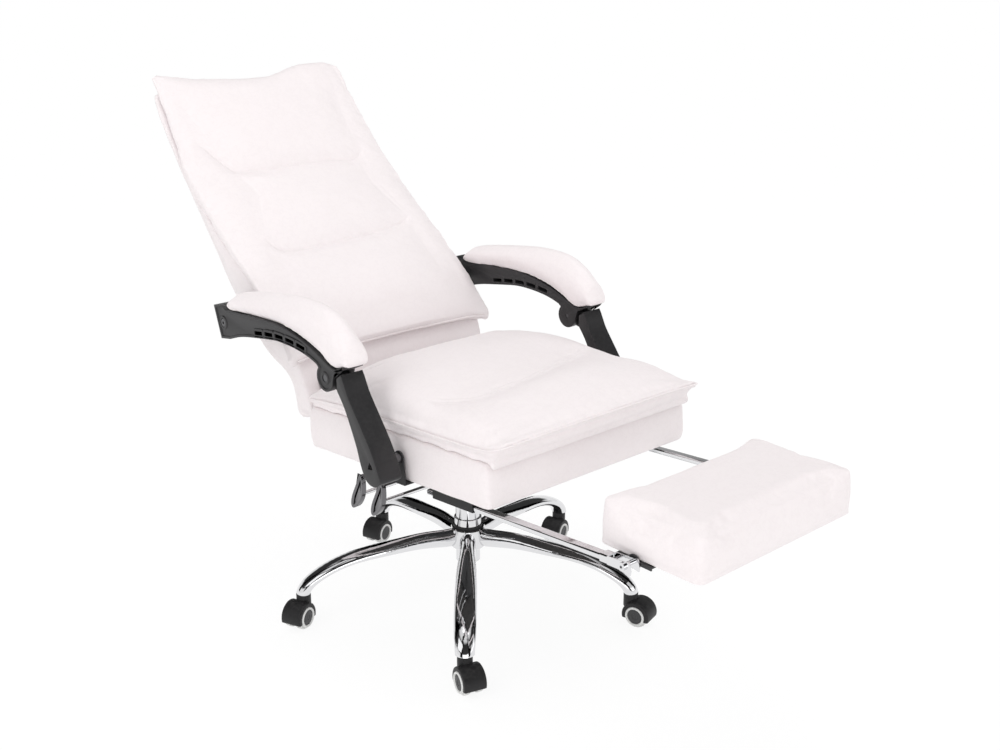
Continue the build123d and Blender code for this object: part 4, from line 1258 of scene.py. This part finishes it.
def back_pad_shape(side: np.ndarray, along: np.ndarray, height: np.ndarray) -> tuple[np.ndarray, ...]:
    """Lets the back pad's top edge dip between its corners and its sides waver.

    Args:
        side: sideways place of each point in millimetres.
        along: place up the back.
        height: height over the shell's face; not used.

    Returns:
        The shifts sideways, along and in height.
    """
    top = ease((along - 690.0) / 170.0)
    rise = np.interp(side, BACK_TOP_EDGE[:, 0], BACK_TOP_EDGE[:, 1])
    low = ease((200.0 - along) / 90.0) * 9.0 * (1.0 - (side / BACK_PAD_HALF) ** 2)
    edge = ease((np.abs(side) - 190.0) / 60.0)
    way = np.sign(side)
    waver = edge * (2.6 * np.sin(along / 27.0 + way) + 1.8 * np.sin(along / 11.0 + 2 * way))
    near = ease(-side / 250.0) * ease((along - 600.0) / 190.0)
    tuck = np.where(side < 0, 19.0 * near, 0.0)
    full = ease((along - 150.0) / 80.0) * ease((700.0 - along) / 120.0) * ease(side / 200.0) * 4.0
    flare = edge * ease((200.0 - along) / 75.0)
    sideways = way * (waver * 0.5 + 7.0 * flare) + tuck + full
    return sideways, rise * top + low - 6.0 * flare, np.zeros(len(side))


def shell_rests(side: np.ndarray, along: np.ndarray, height: np.ndarray) -> np.ndarray:
    """1 on the shell's front face, which the back pad lies on, and round the arm bolts."""
    face = ease((height + 2.5) / 2.5)
    bolt = ease((34.0 - np.hypot(along - BOLT_UP, height - BOLT_HEIGHT)) / 12.0)
    return np.maximum(face, bolt * ease((np.abs(side) - 200) / 20))


ARM_PIVOT = (0.357, 0.583)  # (y, z) of the arm bolts in metres


def _bolt_place() -> tuple[float, float]:
    """Where the arm bolt crosses the shell, as (along, height) on the back's guide."""
    _, along, height, _ = BACK_REST.locate(np.array([[0.0, *ARM_PIVOT]]))
    return float(along[0]), float(height[0])


BOLT_UP, BOLT_HEIGHT = _bolt_place()


@dataclass
class Seat:
    """The base cushion, the loose top pad on it, and the pad's piping."""

    piping_radius: float = 1.7
    voxel: float = 5.0
    fold: Sequence[tuple[float, float]] = (  # the line sewn across the top pad: sideways, then from its front
        (-230, 210),
        (-199, 167),
        (-151, 126),
        (-99, 128),
        (-40, 127),
        (54, 157),
        (110, 176),
        (160, 196),
        (205, 220),
    )
    cushion: Block = Block(SEAT_UNDERSIDE, GUIDE_START, SEAT_DEPTH, 517.0, -1.5, SEAT_THICK, 13.0, (1.5, 3.0))

    def pad_seam(self) -> list[tuple[float, float, float]]:
        """The sewn edge of the top pad, from its rear left corner round the front to the right one."""
        start = GUIDE_START
        right = [(258.0, start + 520, 20.0), (257.0, start + 460, 24.0), (256.5, start + 370, 26.5)]
        right += [(256.5, start + 280, 27.0), (256.5, start + 200, 26.5), (258.5, start + 120, 26.5)]
        right += [(259.5, start + 30, 27.0), (258.5, start - 8, 30.0), (253.0, start - 27, 34.0)]
        right += [(236.0, start - 35, 37.5), (150.0, start - 36, 40.0)]
        left = [(-x, y, z) for x, y, z in reversed(right)]
        return [*right, *left]

    def build(self, shop: PaintShop) -> None:
        """Builds the seat's pieces."""
        Pad(
            node="seat_cushion",
            body="seat",
            guide=SEAT_UNDERSIDE,
            voxel=6.0,
            draw_in=4.0,
            pressure=3.5,
            cap=7.0,
            fill=0.9,
            solid=self.cushion.solid,
            resting=cushion_rests,
            slack=0.9,
            seed=1.7,
            smooth_rounds=2,
        ).make(shop)
        seam = Seam(self.pad_seam(), pinch=2.2, puckers=1.5)
        start = GUIDE_START
        Pad(
            node="seat_top_pad",
            body="seat",
            guide=SEAT_PAD_REST,
            voxel=self.voxel,
            draw_in=9.0,
            pressure=4.5,
            cap=20.0,
            fill=0.75,
            resting=seat_pad_rests,
            shape=seat_front_shape,
            seams=(seam,),
            face=lambda side, along, height: ease((height - 30.0) / 10.0),
            channels=(
                Channel([(x, start + y) for x, y in self.fold], depth=11.0, width=11.0, core=3.4),
                Channel(
                    [(-186, start + 150), (-214, start + 60), (-226, start + 6)],
                    depth=2.5,
                    width=12.0,
                    core=0.2,
                ),
                Channel(
                    [(-262, start + 8), (-238, start - 6), (-214, start - 10)],
                    depth=2.0,
                    width=5.0,
                    core=1.4,
                ),
            ),
            slack=1.0,
            seed=4.1,
        ).make(shop)
        line = [SEAT_PAD_REST.at(*spot) for spot in seam.line()]
        cord = piping("seat_pad_piping", line, self.piping_radius)
        shop.dress(cord, Finish.LEATHER)
        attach(cord, "seat")


@dataclass
class Back:
    """The upholstered shell, the top pad hung on it, and the pad's piping."""

    halves: Sequence[tuple[float, float, float]] = (  # a side seam: up the back, height, half width
        (116, 9, 254),
        (124, 14, 258),
        (190, 16, 259),
        (280, 17, 258),
        (370, 16, 258),
        (460, 16, 258),
        (560, 15, 257),
        (650, 15, 257),
        (740, 13, 257),
        (820, 11, 258),
        (858, 9, 257),
    )
    piping_radius: float = 2.2
    piping_half: float = 245.0
    piping_height: float = 17.0  # over the shell's face

    def _bottom_piping(self, pad: bpy.types.Object, shop: PaintShop) -> None:
        """Sews a cord of leather along the top pad's bottom edge, on the finished pad's surface."""
        side, along, height, _ = BACK_REST.locate(points_of(pad))
        spots = np.arange(-self.piping_half, self.piping_half + 1.0, 7.0)
        lowest = []
        for spot in spots:
            close = (np.abs(side - spot) < 5.0) & (np.abs(height - self.piping_height) < 2.5)
            lowest.append(along[close].min())
        level = np.convolve(np.pad(lowest, 2, mode="edge"), np.ones(5) / 5, mode="valid")
        line = [BACK_REST.at(spot, up - 0.6, self.piping_height) for spot, up in zip(spots, level)]
        cord = piping("back_pad_piping", line, self.piping_radius)
        shop.dress(cord, Finish.LEATHER)
        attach(cord, "back")

    def side_seam(self, sign: int) -> list[tuple[float, float, float]]:
        """One side's sewn edge, bottom to top, where the shaped pad has it."""
        return [(sign * half, up, seam + 1.0) for up, seam, half in self.halves]

    def build(self, shop: PaintShop) -> None:
        """Builds the back's pieces."""
        Pad(
            node="back_shell",
            body="back",
            guide=BACK_REST,
            voxel=6.0,
            draw_in=3.0,
            pressure=3.0,
            cap=8.0,
            fill=0.8,
            resting=shell_rests,
            slack=1.2,
            seed=8.3,
        ).make(shop)
        seams = tuple(Seam(self.side_seam(sign), pinch=2.0, puckers=1.4) for sign in (1, -1))
        upper = [(-216, 684), (-190, 666), (-171, 634), (-146, 598), (-92, 590), (-41, 591), (40, 594)]
        upper += [(90, 595), (150, 591), (185, 604), (206, 632)]
        lower = [(-182, 412), (-165, 376), (-132, 358), (-47, 356)]
        lower += [(60, 363), (130, 373), (177, 385), (208, 404)]
        top_pad = Pad(
            node="back_top_pad",
            body="back",
            guide=BACK_REST,
            voxel=5.5,
            draw_in=5.0,
            pressure=4.5,
            cap=18.0,
            fill=0.75,
            resting=back_pad_rests,
            shape=back_pad_shape,
            seams=seams,
            face=lambda side, along, height: ease((height - 14.0) / 8.0),
            channels=(
                Channel(upper, depth=12.0, width=11.0, fade=0.12, core=3.4),
                Channel(lower, depth=12.0, width=11.0, fade=0.12, core=3.4),
                Channel(
                    [(-172, 410), (-146, 480), (-132, 530), (-150, 598)],
                    depth=4.5,
                    width=17.0,
                    core=0.4,
                ),
                Channel([(196, 398), (172, 470), (164, 540), (172, 596)], depth=4.0, width=18.0, core=0.3),
                Channel([(-176, 215), (-178, 290), (-168, 372)], depth=3.0, width=20.0, core=0.2),
                Channel([(180, 215), (182, 300), (186, 386)], depth=3.0, width=20.0, core=0.2),
                Channel([(-172, 640), (-180, 720), (-200, 800)], depth=3.0, width=22.0, core=0.2),
                Channel([(186, 640), (196, 720), (206, 800)], depth=3.0, width=22.0, core=0.2),
            ),
            slack=1.1,
            seed=6.2,
        ).make(shop)
        self._bottom_piping(top_pad, shop)


@dataclass
class Footrest:
    """The footrest's cushion."""

    voxel: float = 4.5
    cushion: Block = Block(REST_UNDERSIDE, 35.5, 216.0, 405.0, -1.0, 81.0, 18.0, (2.0, 2.0))

    def build(self, shop: PaintShop) -> None:
        """Builds the footrest's leather."""

        def rests(side: np.ndarray, along: np.ndarray, height: np.ndarray) -> np.ndarray:
            """1 on the underside, which is stapled to the board."""
            return ease((5.0 - height) / 3.0)

        Pad(
            node="footrest_cushion",
            body="footrest",
            guide=REST_UNDERSIDE,
            voxel=self.voxel,
            draw_in=3.0,
            pressure=3.5,
            cap=9.0,
            fill=0.9,
            solid=self.cushion.solid,
            resting=rests,
            slack=0.7,
            seed=2.2,
        ).make(shop)


ARM_NOSE = (21.0, 18.0)  # how far back and down an arm pad's nose is drawn
ARM_TAIL = 15.0  # how far forward its tail is drawn


def arm_pad_shape(side: np.ndarray, along: np.ndarray, height: np.ndarray) -> tuple[np.ndarray, ...]:
    """Rounds the arm pad's nose down and back over the arm's front end, and its tail forward."""
    nose = ease((95.0 - along) / 85.0)
    tip = ease((60.0 - along) / 50.0)
    tail = ease((along - along.max() + 60.0) / 60.0)
    back, down = ARM_NOSE
    return np.zeros(len(side)), back * tip - ARM_TAIL * tail, -down * nose * ease((height - 31.0) / 17.0)


@dataclass
class ArmPads:
    """The two arms' leather pads: the right one is blown up and the left one is its mirror image."""

    voxel: float = 3.2
    underside: Sequence[tuple[float, float]] = (
        (-110, 588),
        (-50, 585),
        (15, 588),
        (127, 618),
        (250, 617),
        (400, 614),
    )

    def build(self, shop: PaintShop) -> None:
        """Builds both pads."""
        guide = Guide([(y, z - 30) for y, z in self.underside])
        right = Pad(
            node="right_arm_pad",
            body="right_arm",
            guide=guide,
            voxel=self.voxel,
            draw_in=2.5,
            pressure=3.0,
            cap=5.0,
            fill=0.85,
            shape=arm_pad_shape,
            slack=0.4,
            seed=5.5,
        ).make(shop)
        left = bpy.data.objects.new("left_arm_pad_leather", right.data.copy())
        bpy.context.scene.collection.objects.link(left)
        points = points_of(left)
        points[:, 0] *= -1
        put_points(left, points)
        left.data.flip_normals()
        shop.dress(left, Finish.LEATHER)
        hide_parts("left_arm_pad")
        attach(left, "left_arm")


# ---------------------------------------------------------------- moulded and plated pieces


@dataclass
class Arms:
    """The two moulded arm frames and the brackets they turn on."""

    outer_plane: float = -330.0
    frame_rim: float = 4.0
    recess: float = 1.8
    edge: float = 1.3
    bracket_edge: float = 3.2
    bow: float = 3.0  # how far the bracket's front is drawn forward half way up
    crown: float = 7.0  # how far its top is drawn up

    def _frame(self) -> bpy.types.Object:
        """The right arm's frame, with a raised rim round its outer side."""
        obj = tidy_copy("right_arm_frame", "right_arm_moulding")
        rim_face(obj, self.outer_plane, self.frame_rim, self.recess)
        soften(obj, self.edge, 40.0)
        shade(obj, 32.0)
        return obj

    def _bracket(self) -> bpy.types.Object:
        """The right bracket, its front bowed forward and its top reaching up to the arm."""
        obj = tidy_copy("right_arm_bracket", "right_bracket_moulding")
        points = points_of(obj) / MM
        y, z = points[:, 1], points[:, 2]
        front = ease((-60.0 - y) / 30.0) * bell(z - 452.0, 46.0)
        crown = ease((z - 535.0) / 25.0) * ease((-24.0 - y) / 8.0)
        points[:, 1] -= self.bow * front
        points[:, 2] += self.crown * crown
        put_points(obj, points * MM)
        soften(obj, self.bracket_edge, 40.0, 4)
        shade(obj, 32.0)
        return obj

    def build(self, shop: PaintShop) -> None:
        """Builds the right side's pieces and mirrors them for the left."""
        for made, node, body in (
            (self._frame(), "arm_frame", "arm"),
            (self._bracket(), "arm_bracket", "bracket"),
        ):
            left = placed_copy(made, made.name.replace("right", "left"), MIRRORED)
            for obj, side in ((made, "right"), (left, "left")):
                shop.dress(obj, Finish.ARM)
                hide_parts(f"{side}_{node}")
                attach(obj, f"{side}_{body}")


@dataclass
class Paddles:
    """The smoked-chrome grips of the height and recline levers."""

    lean: float = 26.0  # how much further back a grip's foot lies than its head
    head_half: float = 8.5
    foot_half: float = 15.5
    half_thick: float = 4.6
    dish: float = 1.4  # how deep its outer side is hollowed
    border: float = 3.4  # how wide the flat round the hollow is
    slope: float = 2.0

    def _grip(self, name: str, node: str) -> bpy.types.Object:
        """A grip that widens from its head to a round foot, over the solid it stands for."""
        low, high = (np.array(corner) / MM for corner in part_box(node))
        bpy.ops.object.select_all(action="DESELECT")
        sideways = (0, -math.pi / 2, 0)
        bpy.ops.mesh.primitive_circle_add(vertices=48, radius=1.0, fill_type="NGON", rotation=sideways)
        obj = bpy.context.object
        obj.name = name
        bpy.ops.object.transform_apply(location=True, rotation=True, scale=True)
        points = points_of(obj)
        down = (1.0 - points[:, 2]) / 2.0
        half = self.head_half + (self.foot_half - self.head_half) * ease(down * 1.15)
        head = low[1] + self.foot_half - 1.5
        points[:, 1] = head + self.lean * down**1.7 + points[:, 1] * half
        points[:, 2] = (low[2] + high[2]) / 2 + points[:, 2] * (high[2] - low[2]) / 2
        points[:, 0] = (low[0] + high[0]) / 2 - self.half_thick
        put_points(obj, points * MM)
        lone(obj)
        bpy.ops.object.mode_set(mode="EDIT")
        bpy.ops.mesh.select_mode(type="FACE")
        bpy.ops.mesh.select_all(action="SELECT")
        thick = (2 * self.half_thick * MM, 0.0, 0.0)
        bpy.ops.mesh.extrude_region_move(TRANSFORM_OT_translate={"value": thick})
        bpy.ops.mesh.select_all(action="SELECT")
        bpy.ops.mesh.normals_make_consistent(inside=False)
        bpy.ops.object.mode_set(mode="OBJECT")
        for face in obj.data.polygons:
            face.select = face.normal.x < -0.9
        bpy.ops.object.mode_set(mode="EDIT")
        bpy.ops.mesh.inset(thickness=self.border * MM)
        bpy.ops.mesh.inset(thickness=self.slope * MM, depth=-self.dish * MM)
        bpy.ops.object.mode_set(mode="OBJECT")
        soften(obj, 1.8, 40.0, 4)
        shade(obj, 40.0)
        return obj

    def build(self, shop: PaintShop) -> None:
        """Builds both grips."""
        for lever in ("height_lever", "recline_lever"):
            obj = self._grip(f"{lever}_grip", f"{lever}_paddle")
            shop.dress(obj, Finish.SMOKED)
            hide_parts(f"{lever}_paddle")
            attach(obj, lever)


ROUND_SIDES = 72  # sides of a caster's round pieces


@dataclass
class Casters:
    """Five twin-wheel casters: hood, treads with their side rings, and wheel discs."""

    base_radius: float = 345.0
    first_angle: float = -41.7
    yaws: Sequence[float] = (-16.0, 16.0, -72.0, -72.0, -68.0)  # each caster's turn on its stem
    axle: tuple[float, float] = (-20.0, 25.0)  # (y, z) from the foot of the stem's line
    hood_radius: float = 29.2
    hood_half: float = 22.4
    hood_low: float = 17.5
    neck_radius: float = 14.6
    neck_top: float = 65.5
    cavity: tuple[float, float, float] = (26.3, 5.5, 19.6)  # radius, and from where to where it runs
    opening: float = 21.0
    wheel_radius: float = 25.0
    ring: tuple[float, float] = (18.1, 2.5)  # the side ring's middle radius and half thickness
    ring_out: float = 21.6
    tread: tuple[float, float] = (6.2, 18.8)
    disc_radius: float = 16.4
    disc: tuple[float, float] = (17.0, 21.8)
    disc_steps: Sequence[tuple[float, float]] = ((3.5, 0.7), (4.5, 0.4), (2.6, 0.1), (0.5, -0.7), (3.0, 0.5))

    def _at(self, x: float) -> tuple[float, float, float]:
        """A place on the axle."""
        return (x, *self.axle)

    def _hood(self) -> bpy.types.Object:
        """The hood: a barrel cut off over the floor, hollow over each wheel, with a neck for the stem."""
        left, right = self._at(-self.hood_half), self._at(self.hood_half)
        hood = cylinder("caster_hood", self.hood_radius, left, right, ROUND_SIDES)
        soften(hood, 3.0, 40.0, 4)
        with whole_mesh(hood):
            bpy.ops.mesh.bisect(
                plane_co=(0, 0, self.hood_low * MM), plane_no=(0, 0, 1), clear_inner=True, use_fill=True
            )
        neck = cylinder("neck", self.neck_radius, (0, 0, 36.0), (0, 0, self.neck_top), 48)
        soften(neck, 1.2, 40.0, 3)
        combine(hood, neck, "UNION")
        radius, start, end = self.cavity
        for sign in (1, -1):
            cuts = ((radius, start, end), (self.opening, end - 1, 30))
            for size, inner, outer in cuts:
                cut = cylinder("cut", size, self._at(sign * inner), self._at(sign * outer), ROUND_SIDES)
                combine(hood, cut, "DIFFERENCE")
        soften(hood, 0.6, 45.0, 2)
        shade(hood, 35.0)
        return hood

    def _treads(self) -> bpy.types.Object:
        """Both treads, each with the ring that stands out of the hood's side."""
        pieces = []
        middle, half = self.ring
        inner, outer = self.tread
        for sign in (1, -1):
            ends = self._at(sign * inner), self._at(sign * outer)
            tread = cylinder("tread", self.wheel_radius, *ends, ROUND_SIDES)
            soften(tread, 2.6, 40.0, 4)
            pieces.append(tread)
            bpy.ops.object.select_all(action="DESELECT")
            bpy.ops.mesh.primitive_torus_add(
                major_radius=middle * MM,
                minor_radius=half * MM,
                major_segments=ROUND_SIDES,
                minor_segments=20,
                location=Vector(self._at(sign * self.ring_out)) * MM,
                rotation=(0, math.pi / 2, 0),
            )
            ring = bpy.context.object
            bpy.ops.object.transform_apply(location=True, rotation=True, scale=True)
            points = points_of(ring)
            points[:, 0] += (points[:, 0] - sign * self.ring_out * MM) * 0.25
            put_points(ring, points)
            pieces.append(ring)
        treads = joined(pieces, "caster_treads")
        shade(treads, 40.0)
        return treads

    def _discs(self) -> bpy.types.Object:
        """Both wheels' domed discs, with a step round the axle's cap."""
        pieces = []
        inner, outer = self.disc
        for sign in (1, -1):
            ends = self._at(sign * inner), self._at(sign * outer)
            disc = cylinder("disc", self.disc_radius, *ends, ROUND_SIDES)
            lone(disc)
            for face in disc.data.polygons:
                face.select = face.normal.x * sign > 0.9
            bpy.ops.object.mode_set(mode="EDIT")
            bpy.ops.mesh.select_mode(type="FACE")
            for width, rise in self.disc_steps:
                bpy.ops.mesh.inset(thickness=width * MM, depth=rise * MM)
            bpy.ops.object.mode_set(mode="OBJECT")
            pieces.append(disc)
        discs = joined(pieces, "caster_discs")
        shade(discs, 30.0)
        return discs

    def build(self, shop: PaintShop) -> None:
        """Models one caster and copies it to the five legs."""
        kinds = (
            (self._hood(), "caster_hood", "caster", Finish.BLACK, "caster_shell"),
            (self._treads(), "caster_tyres", "wheels", Finish.TREAD, "caster_tread"),
            (self._discs(), "caster_centres", "wheels", Finish.WHEEL, "caster_disc"),
        )
        for number, yaw in zip(CASTERS, self.yaws):
            angle = math.radians(self.first_angle + 72.0 * (number - 1))
            stem = Vector((math.sin(angle), -math.cos(angle), 0.0)) * self.base_radius * MM
            place = Matrix.Translation(stem) @ Matrix.Rotation(math.radians(yaw), 4, "Z")
            for source, node, body, finish, name in kinds:
                obj = placed_copy(source, f"{name}_{number}", place)
                shop.dress(obj, finish)
                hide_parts(f"{node}_{number}")
                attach(obj, f"{body}_{number}")
        for source, *_ in kinds:
            bpy.data.objects.remove(source)


# ---------------------------------------------------------------- what keeps its CAD shape


CAD_FINISHES: dict[Finish, tuple[str, ...]] = {
    Finish.CHROME: (
        "base_hub",
        "base_legs",
        "column_collar",
        "gas_tube",
        "footrest_rails",
        "rail_sleeves",
        "flip_bolts",
        "height_lever_rod",
        "recline_lever_rod",
    ),
    Finish.BLACK: ("hub_ring", "rail_guides", "arm_spacers"),
    Finish.BOLT: (
        *(f"caster_pins_{k}" for k in CASTERS),
        "hinge_pins",
        "bracket_bolts",
        "arm_rear_bolts",
        "left_knuckle_bolt",
        "right_knuckle_bolt",
        "gas_rod",
        "gas_piston",
    ),
    Finish.STEEL: ("mechanism_pan", "hinge_plates", "arm_mount_plates", "back_frame", "footrest_straps"),
    Finish.NYLON: ("column_bush",),
    Finish.BOARD: ("seat_board", "footrest_board"),
}


def dress_cad(shop: PaintShop) -> None:
    """Gives every CAD node that stays in view its finish."""
    for finish, nodes in CAD_FINISHES.items():
        for node in nodes:
            shop.dress_node(node, finish)


# ---------------------------------------------------------------- studio


@dataclass(frozen=True)
class Lamp:
    """One soft area lamp."""

    name: str
    place: tuple[float, float, float]
    aim: tuple[float, float, float]
    width: float
    height: float
    power: float

    def hang(self) -> None:
        """Puts the lamp in the scene."""
        data = bpy.data.lights.new(self.name, "AREA")
        data.shape = "RECTANGLE"
        data.size, data.size_y = self.width, self.height
        data.energy = self.power
        obj = bpy.data.objects.new(self.name, data)
        bpy.context.scene.collection.objects.link(obj)
        obj.location = self.place
        obj.rotation_euler = (Vector(self.aim) - Vector(self.place)).to_track_quat("-Z", "Y").to_euler()


@dataclass
class Studio:
    """Camera, lamps, world and floor."""

    camera_place: tuple[float, float, float] = (-1.534, -1.801, 1.284)
    camera_look: tuple[float, float, float] = (0.6345, 0.7041, -0.3188)
    lens: float = 45.43
    even_light: float = 0.87  # the world's light on everything but gloss
    bars: float = 5.0  # dark bars round the room that gloss reflects
    floor_radius: float = 40.0
    floor_tone: float = 0.93
    floor_glow: float = 1.035
    floor_share: float = 0.85  # share of the floor's look that glows
    room: Sequence[tuple[float, float]] = (  # (height from floor 0 to ceiling 1, level) as gloss sees it
        (0.0, 0.95),
        (0.47, 0.95),
        (0.5, 0.9),
        (0.6, 0.95),
        (0.67, 0.04),
        (0.89, 0.03),
        (0.95, 0.8),
        (1.0, 0.9),
    )
    lamps: Sequence[Lamp] = (
        Lamp("key", (-2.6, -0.2, 1.9), (0.0, 0.0, 0.55), 1.8, 1.8, 12.0),
        Lamp("top", (0.2, -0.2, 2.7), (0.0, 0.0, 0.5), 1.6, 1.6, 8.5),
        Lamp("fill", (1.9, -2.9, 1.2), (0.0, -0.2, 0.5), 2.4, 1.8, 8.5),
        Lamp("low", (-1.7, -2.5, 0.35), (0.0, -0.4, 0.45), 2.2, 0.7, 9.0),
    )

    def build(self) -> None:
        """Sets the studio up."""
        self._camera()
        for lamp in self.lamps:
            lamp.hang()
        self._world()
        self._floor()
        scene = bpy.context.scene
        scene.view_settings.view_transform = "Standard"

    def _camera(self) -> None:
        """Places the camera at the photograph's point of view."""
        data = bpy.data.cameras.new("camera")
        data.lens = self.lens
        data.sensor_width = 36.0
        data.clip_start = 0.05
        obj = bpy.data.objects.new("camera", data)
        bpy.context.scene.collection.objects.link(obj)
        obj.location = self.camera_place
        obj.rotation_euler = Vector(self.camera_look).to_track_quat("-Z", "Y").to_euler()
        bpy.context.scene.camera = obj

    def _world(self) -> None:
        """White to the camera, even light for the rest, and a room with dark parts for gloss."""
        world = bpy.data.worlds.new("studio")
        bpy.context.scene.world = world
        world.use_nodes = True
        tree = world.node_tree
        tree.nodes.clear()
        rays = node_in(tree, "ShaderNodeLightPath")
        way = node_in(tree, "ShaderNodeTexCoord")
        split = node_in(tree, "ShaderNodeSeparateXYZ")
        wire(tree, way.outputs["Generated"], split.inputs[0])
        room = node_in(tree, "ShaderNodeValToRGB")
        room.color_ramp.interpolation = "EASE"
        while len(room.color_ramp.elements) < len(self.room):
            room.color_ramp.elements.new(0.5)
        for element, (place, tone) in zip(room.color_ramp.elements, self.room):
            element.position = place
            element.color = (tone, tone, tone, 1.0)
        level = node_in(tree, "ShaderNodeMapRange")
        level.inputs["From Min"].default_value = -1.0
        wire(tree, split.outputs["Z"], level.inputs["Value"])
        wire(tree, level.outputs["Result"], room.inputs["Fac"])
        turn = calculate(tree, "ARCTAN2", split.outputs["Y"], split.outputs["X"])
        bars = calculate(tree, "SINE", calculate(tree, "MULTIPLY", turn, self.bars), 0.0)
        light = ramp(tree, bars, -0.72, -0.5)
        shared = calculate(tree, "MULTIPLY", room.outputs["Color"], light)
        even = node_in(tree, "ShaderNodeBackground")
        even.inputs["Color"].default_value = (*[self.even_light] * 3, 1.0)
        gloss = node_in(tree, "ShaderNodeBackground")
        wire(tree, shared, gloss.inputs["Color"])
        white = node_in(tree, "ShaderNodeBackground")
        white.inputs["Color"].default_value = (1.0, 1.0, 1.0, 1.0)
        first = node_in(tree, "ShaderNodeMixShader")
        wire(tree, rays.outputs["Is Glossy Ray"], first.inputs[0])
        wire(tree, even.outputs[0], first.inputs[1])
        wire(tree, gloss.outputs[0], first.inputs[2])
        second = node_in(tree, "ShaderNodeMixShader")
        wire(tree, rays.outputs["Is Camera Ray"], second.inputs[0])
        wire(tree, first.outputs[0], second.inputs[1])
        wire(tree, white.outputs[0], second.inputs[2])
        out = node_in(tree, "ShaderNodeOutputWorld")
        wire(tree, second.outputs[0], out.inputs["Surface"])

    def _floor(self) -> None:
        """A plain pale floor that reads white and keeps a faint shadow."""
        bpy.ops.object.select_all(action="DESELECT")
        bpy.ops.mesh.primitive_circle_add(
            vertices=96, radius=self.floor_radius, fill_type="NGON", location=(0, 0, -0.0005)
        )
        floor = bpy.context.object
        floor.name = "studio_floor"
        material = bpy.data.materials.new("studio_floor")
        material.use_nodes = True
        tree = material.node_tree
        tree.nodes.clear()
        matt = node_in(tree, "ShaderNodeBsdfDiffuse")
        matt.inputs["Color"].default_value = (*[self.floor_tone] * 3, 1.0)
        glow = node_in(tree, "ShaderNodeEmission")
        glow.inputs["Strength"].default_value = self.floor_glow
        share = node_in(tree, "ShaderNodeMixShader")
        rays = node_in(tree, "ShaderNodeLightPath")
        seen = calculate(tree, "MAXIMUM", rays.outputs["Is Camera Ray"], rays.outputs["Is Glossy Ray"])
        amount = calculate(tree, "MULTIPLY", seen, self.floor_share)
        wire(tree, amount, share.inputs[0])
        wire(tree, matt.outputs[0], share.inputs[1])
        wire(tree, glow.outputs[0], share.inputs[2])
        out = node_in(tree, "ShaderNodeOutputMaterial")
        wire(tree, share.outputs[0], out.inputs["Surface"])
        floor.data.materials.append(material)


def main() -> None:
    """Builds the chair and its studio."""
    logging.basicConfig(level=logging.INFO, format="%(name)s: %(message)s")
    shop = PaintShop()
    dress_cad(shop)
    for assembly in (Seat(), Back(), Footrest(), ArmPads(), Arms(), Paddles(), Casters()):
        assembly.build(shop)
        log.info("%s done", type(assembly).__name__)
    Studio().build()


if __name__ == "__main__":
    main()
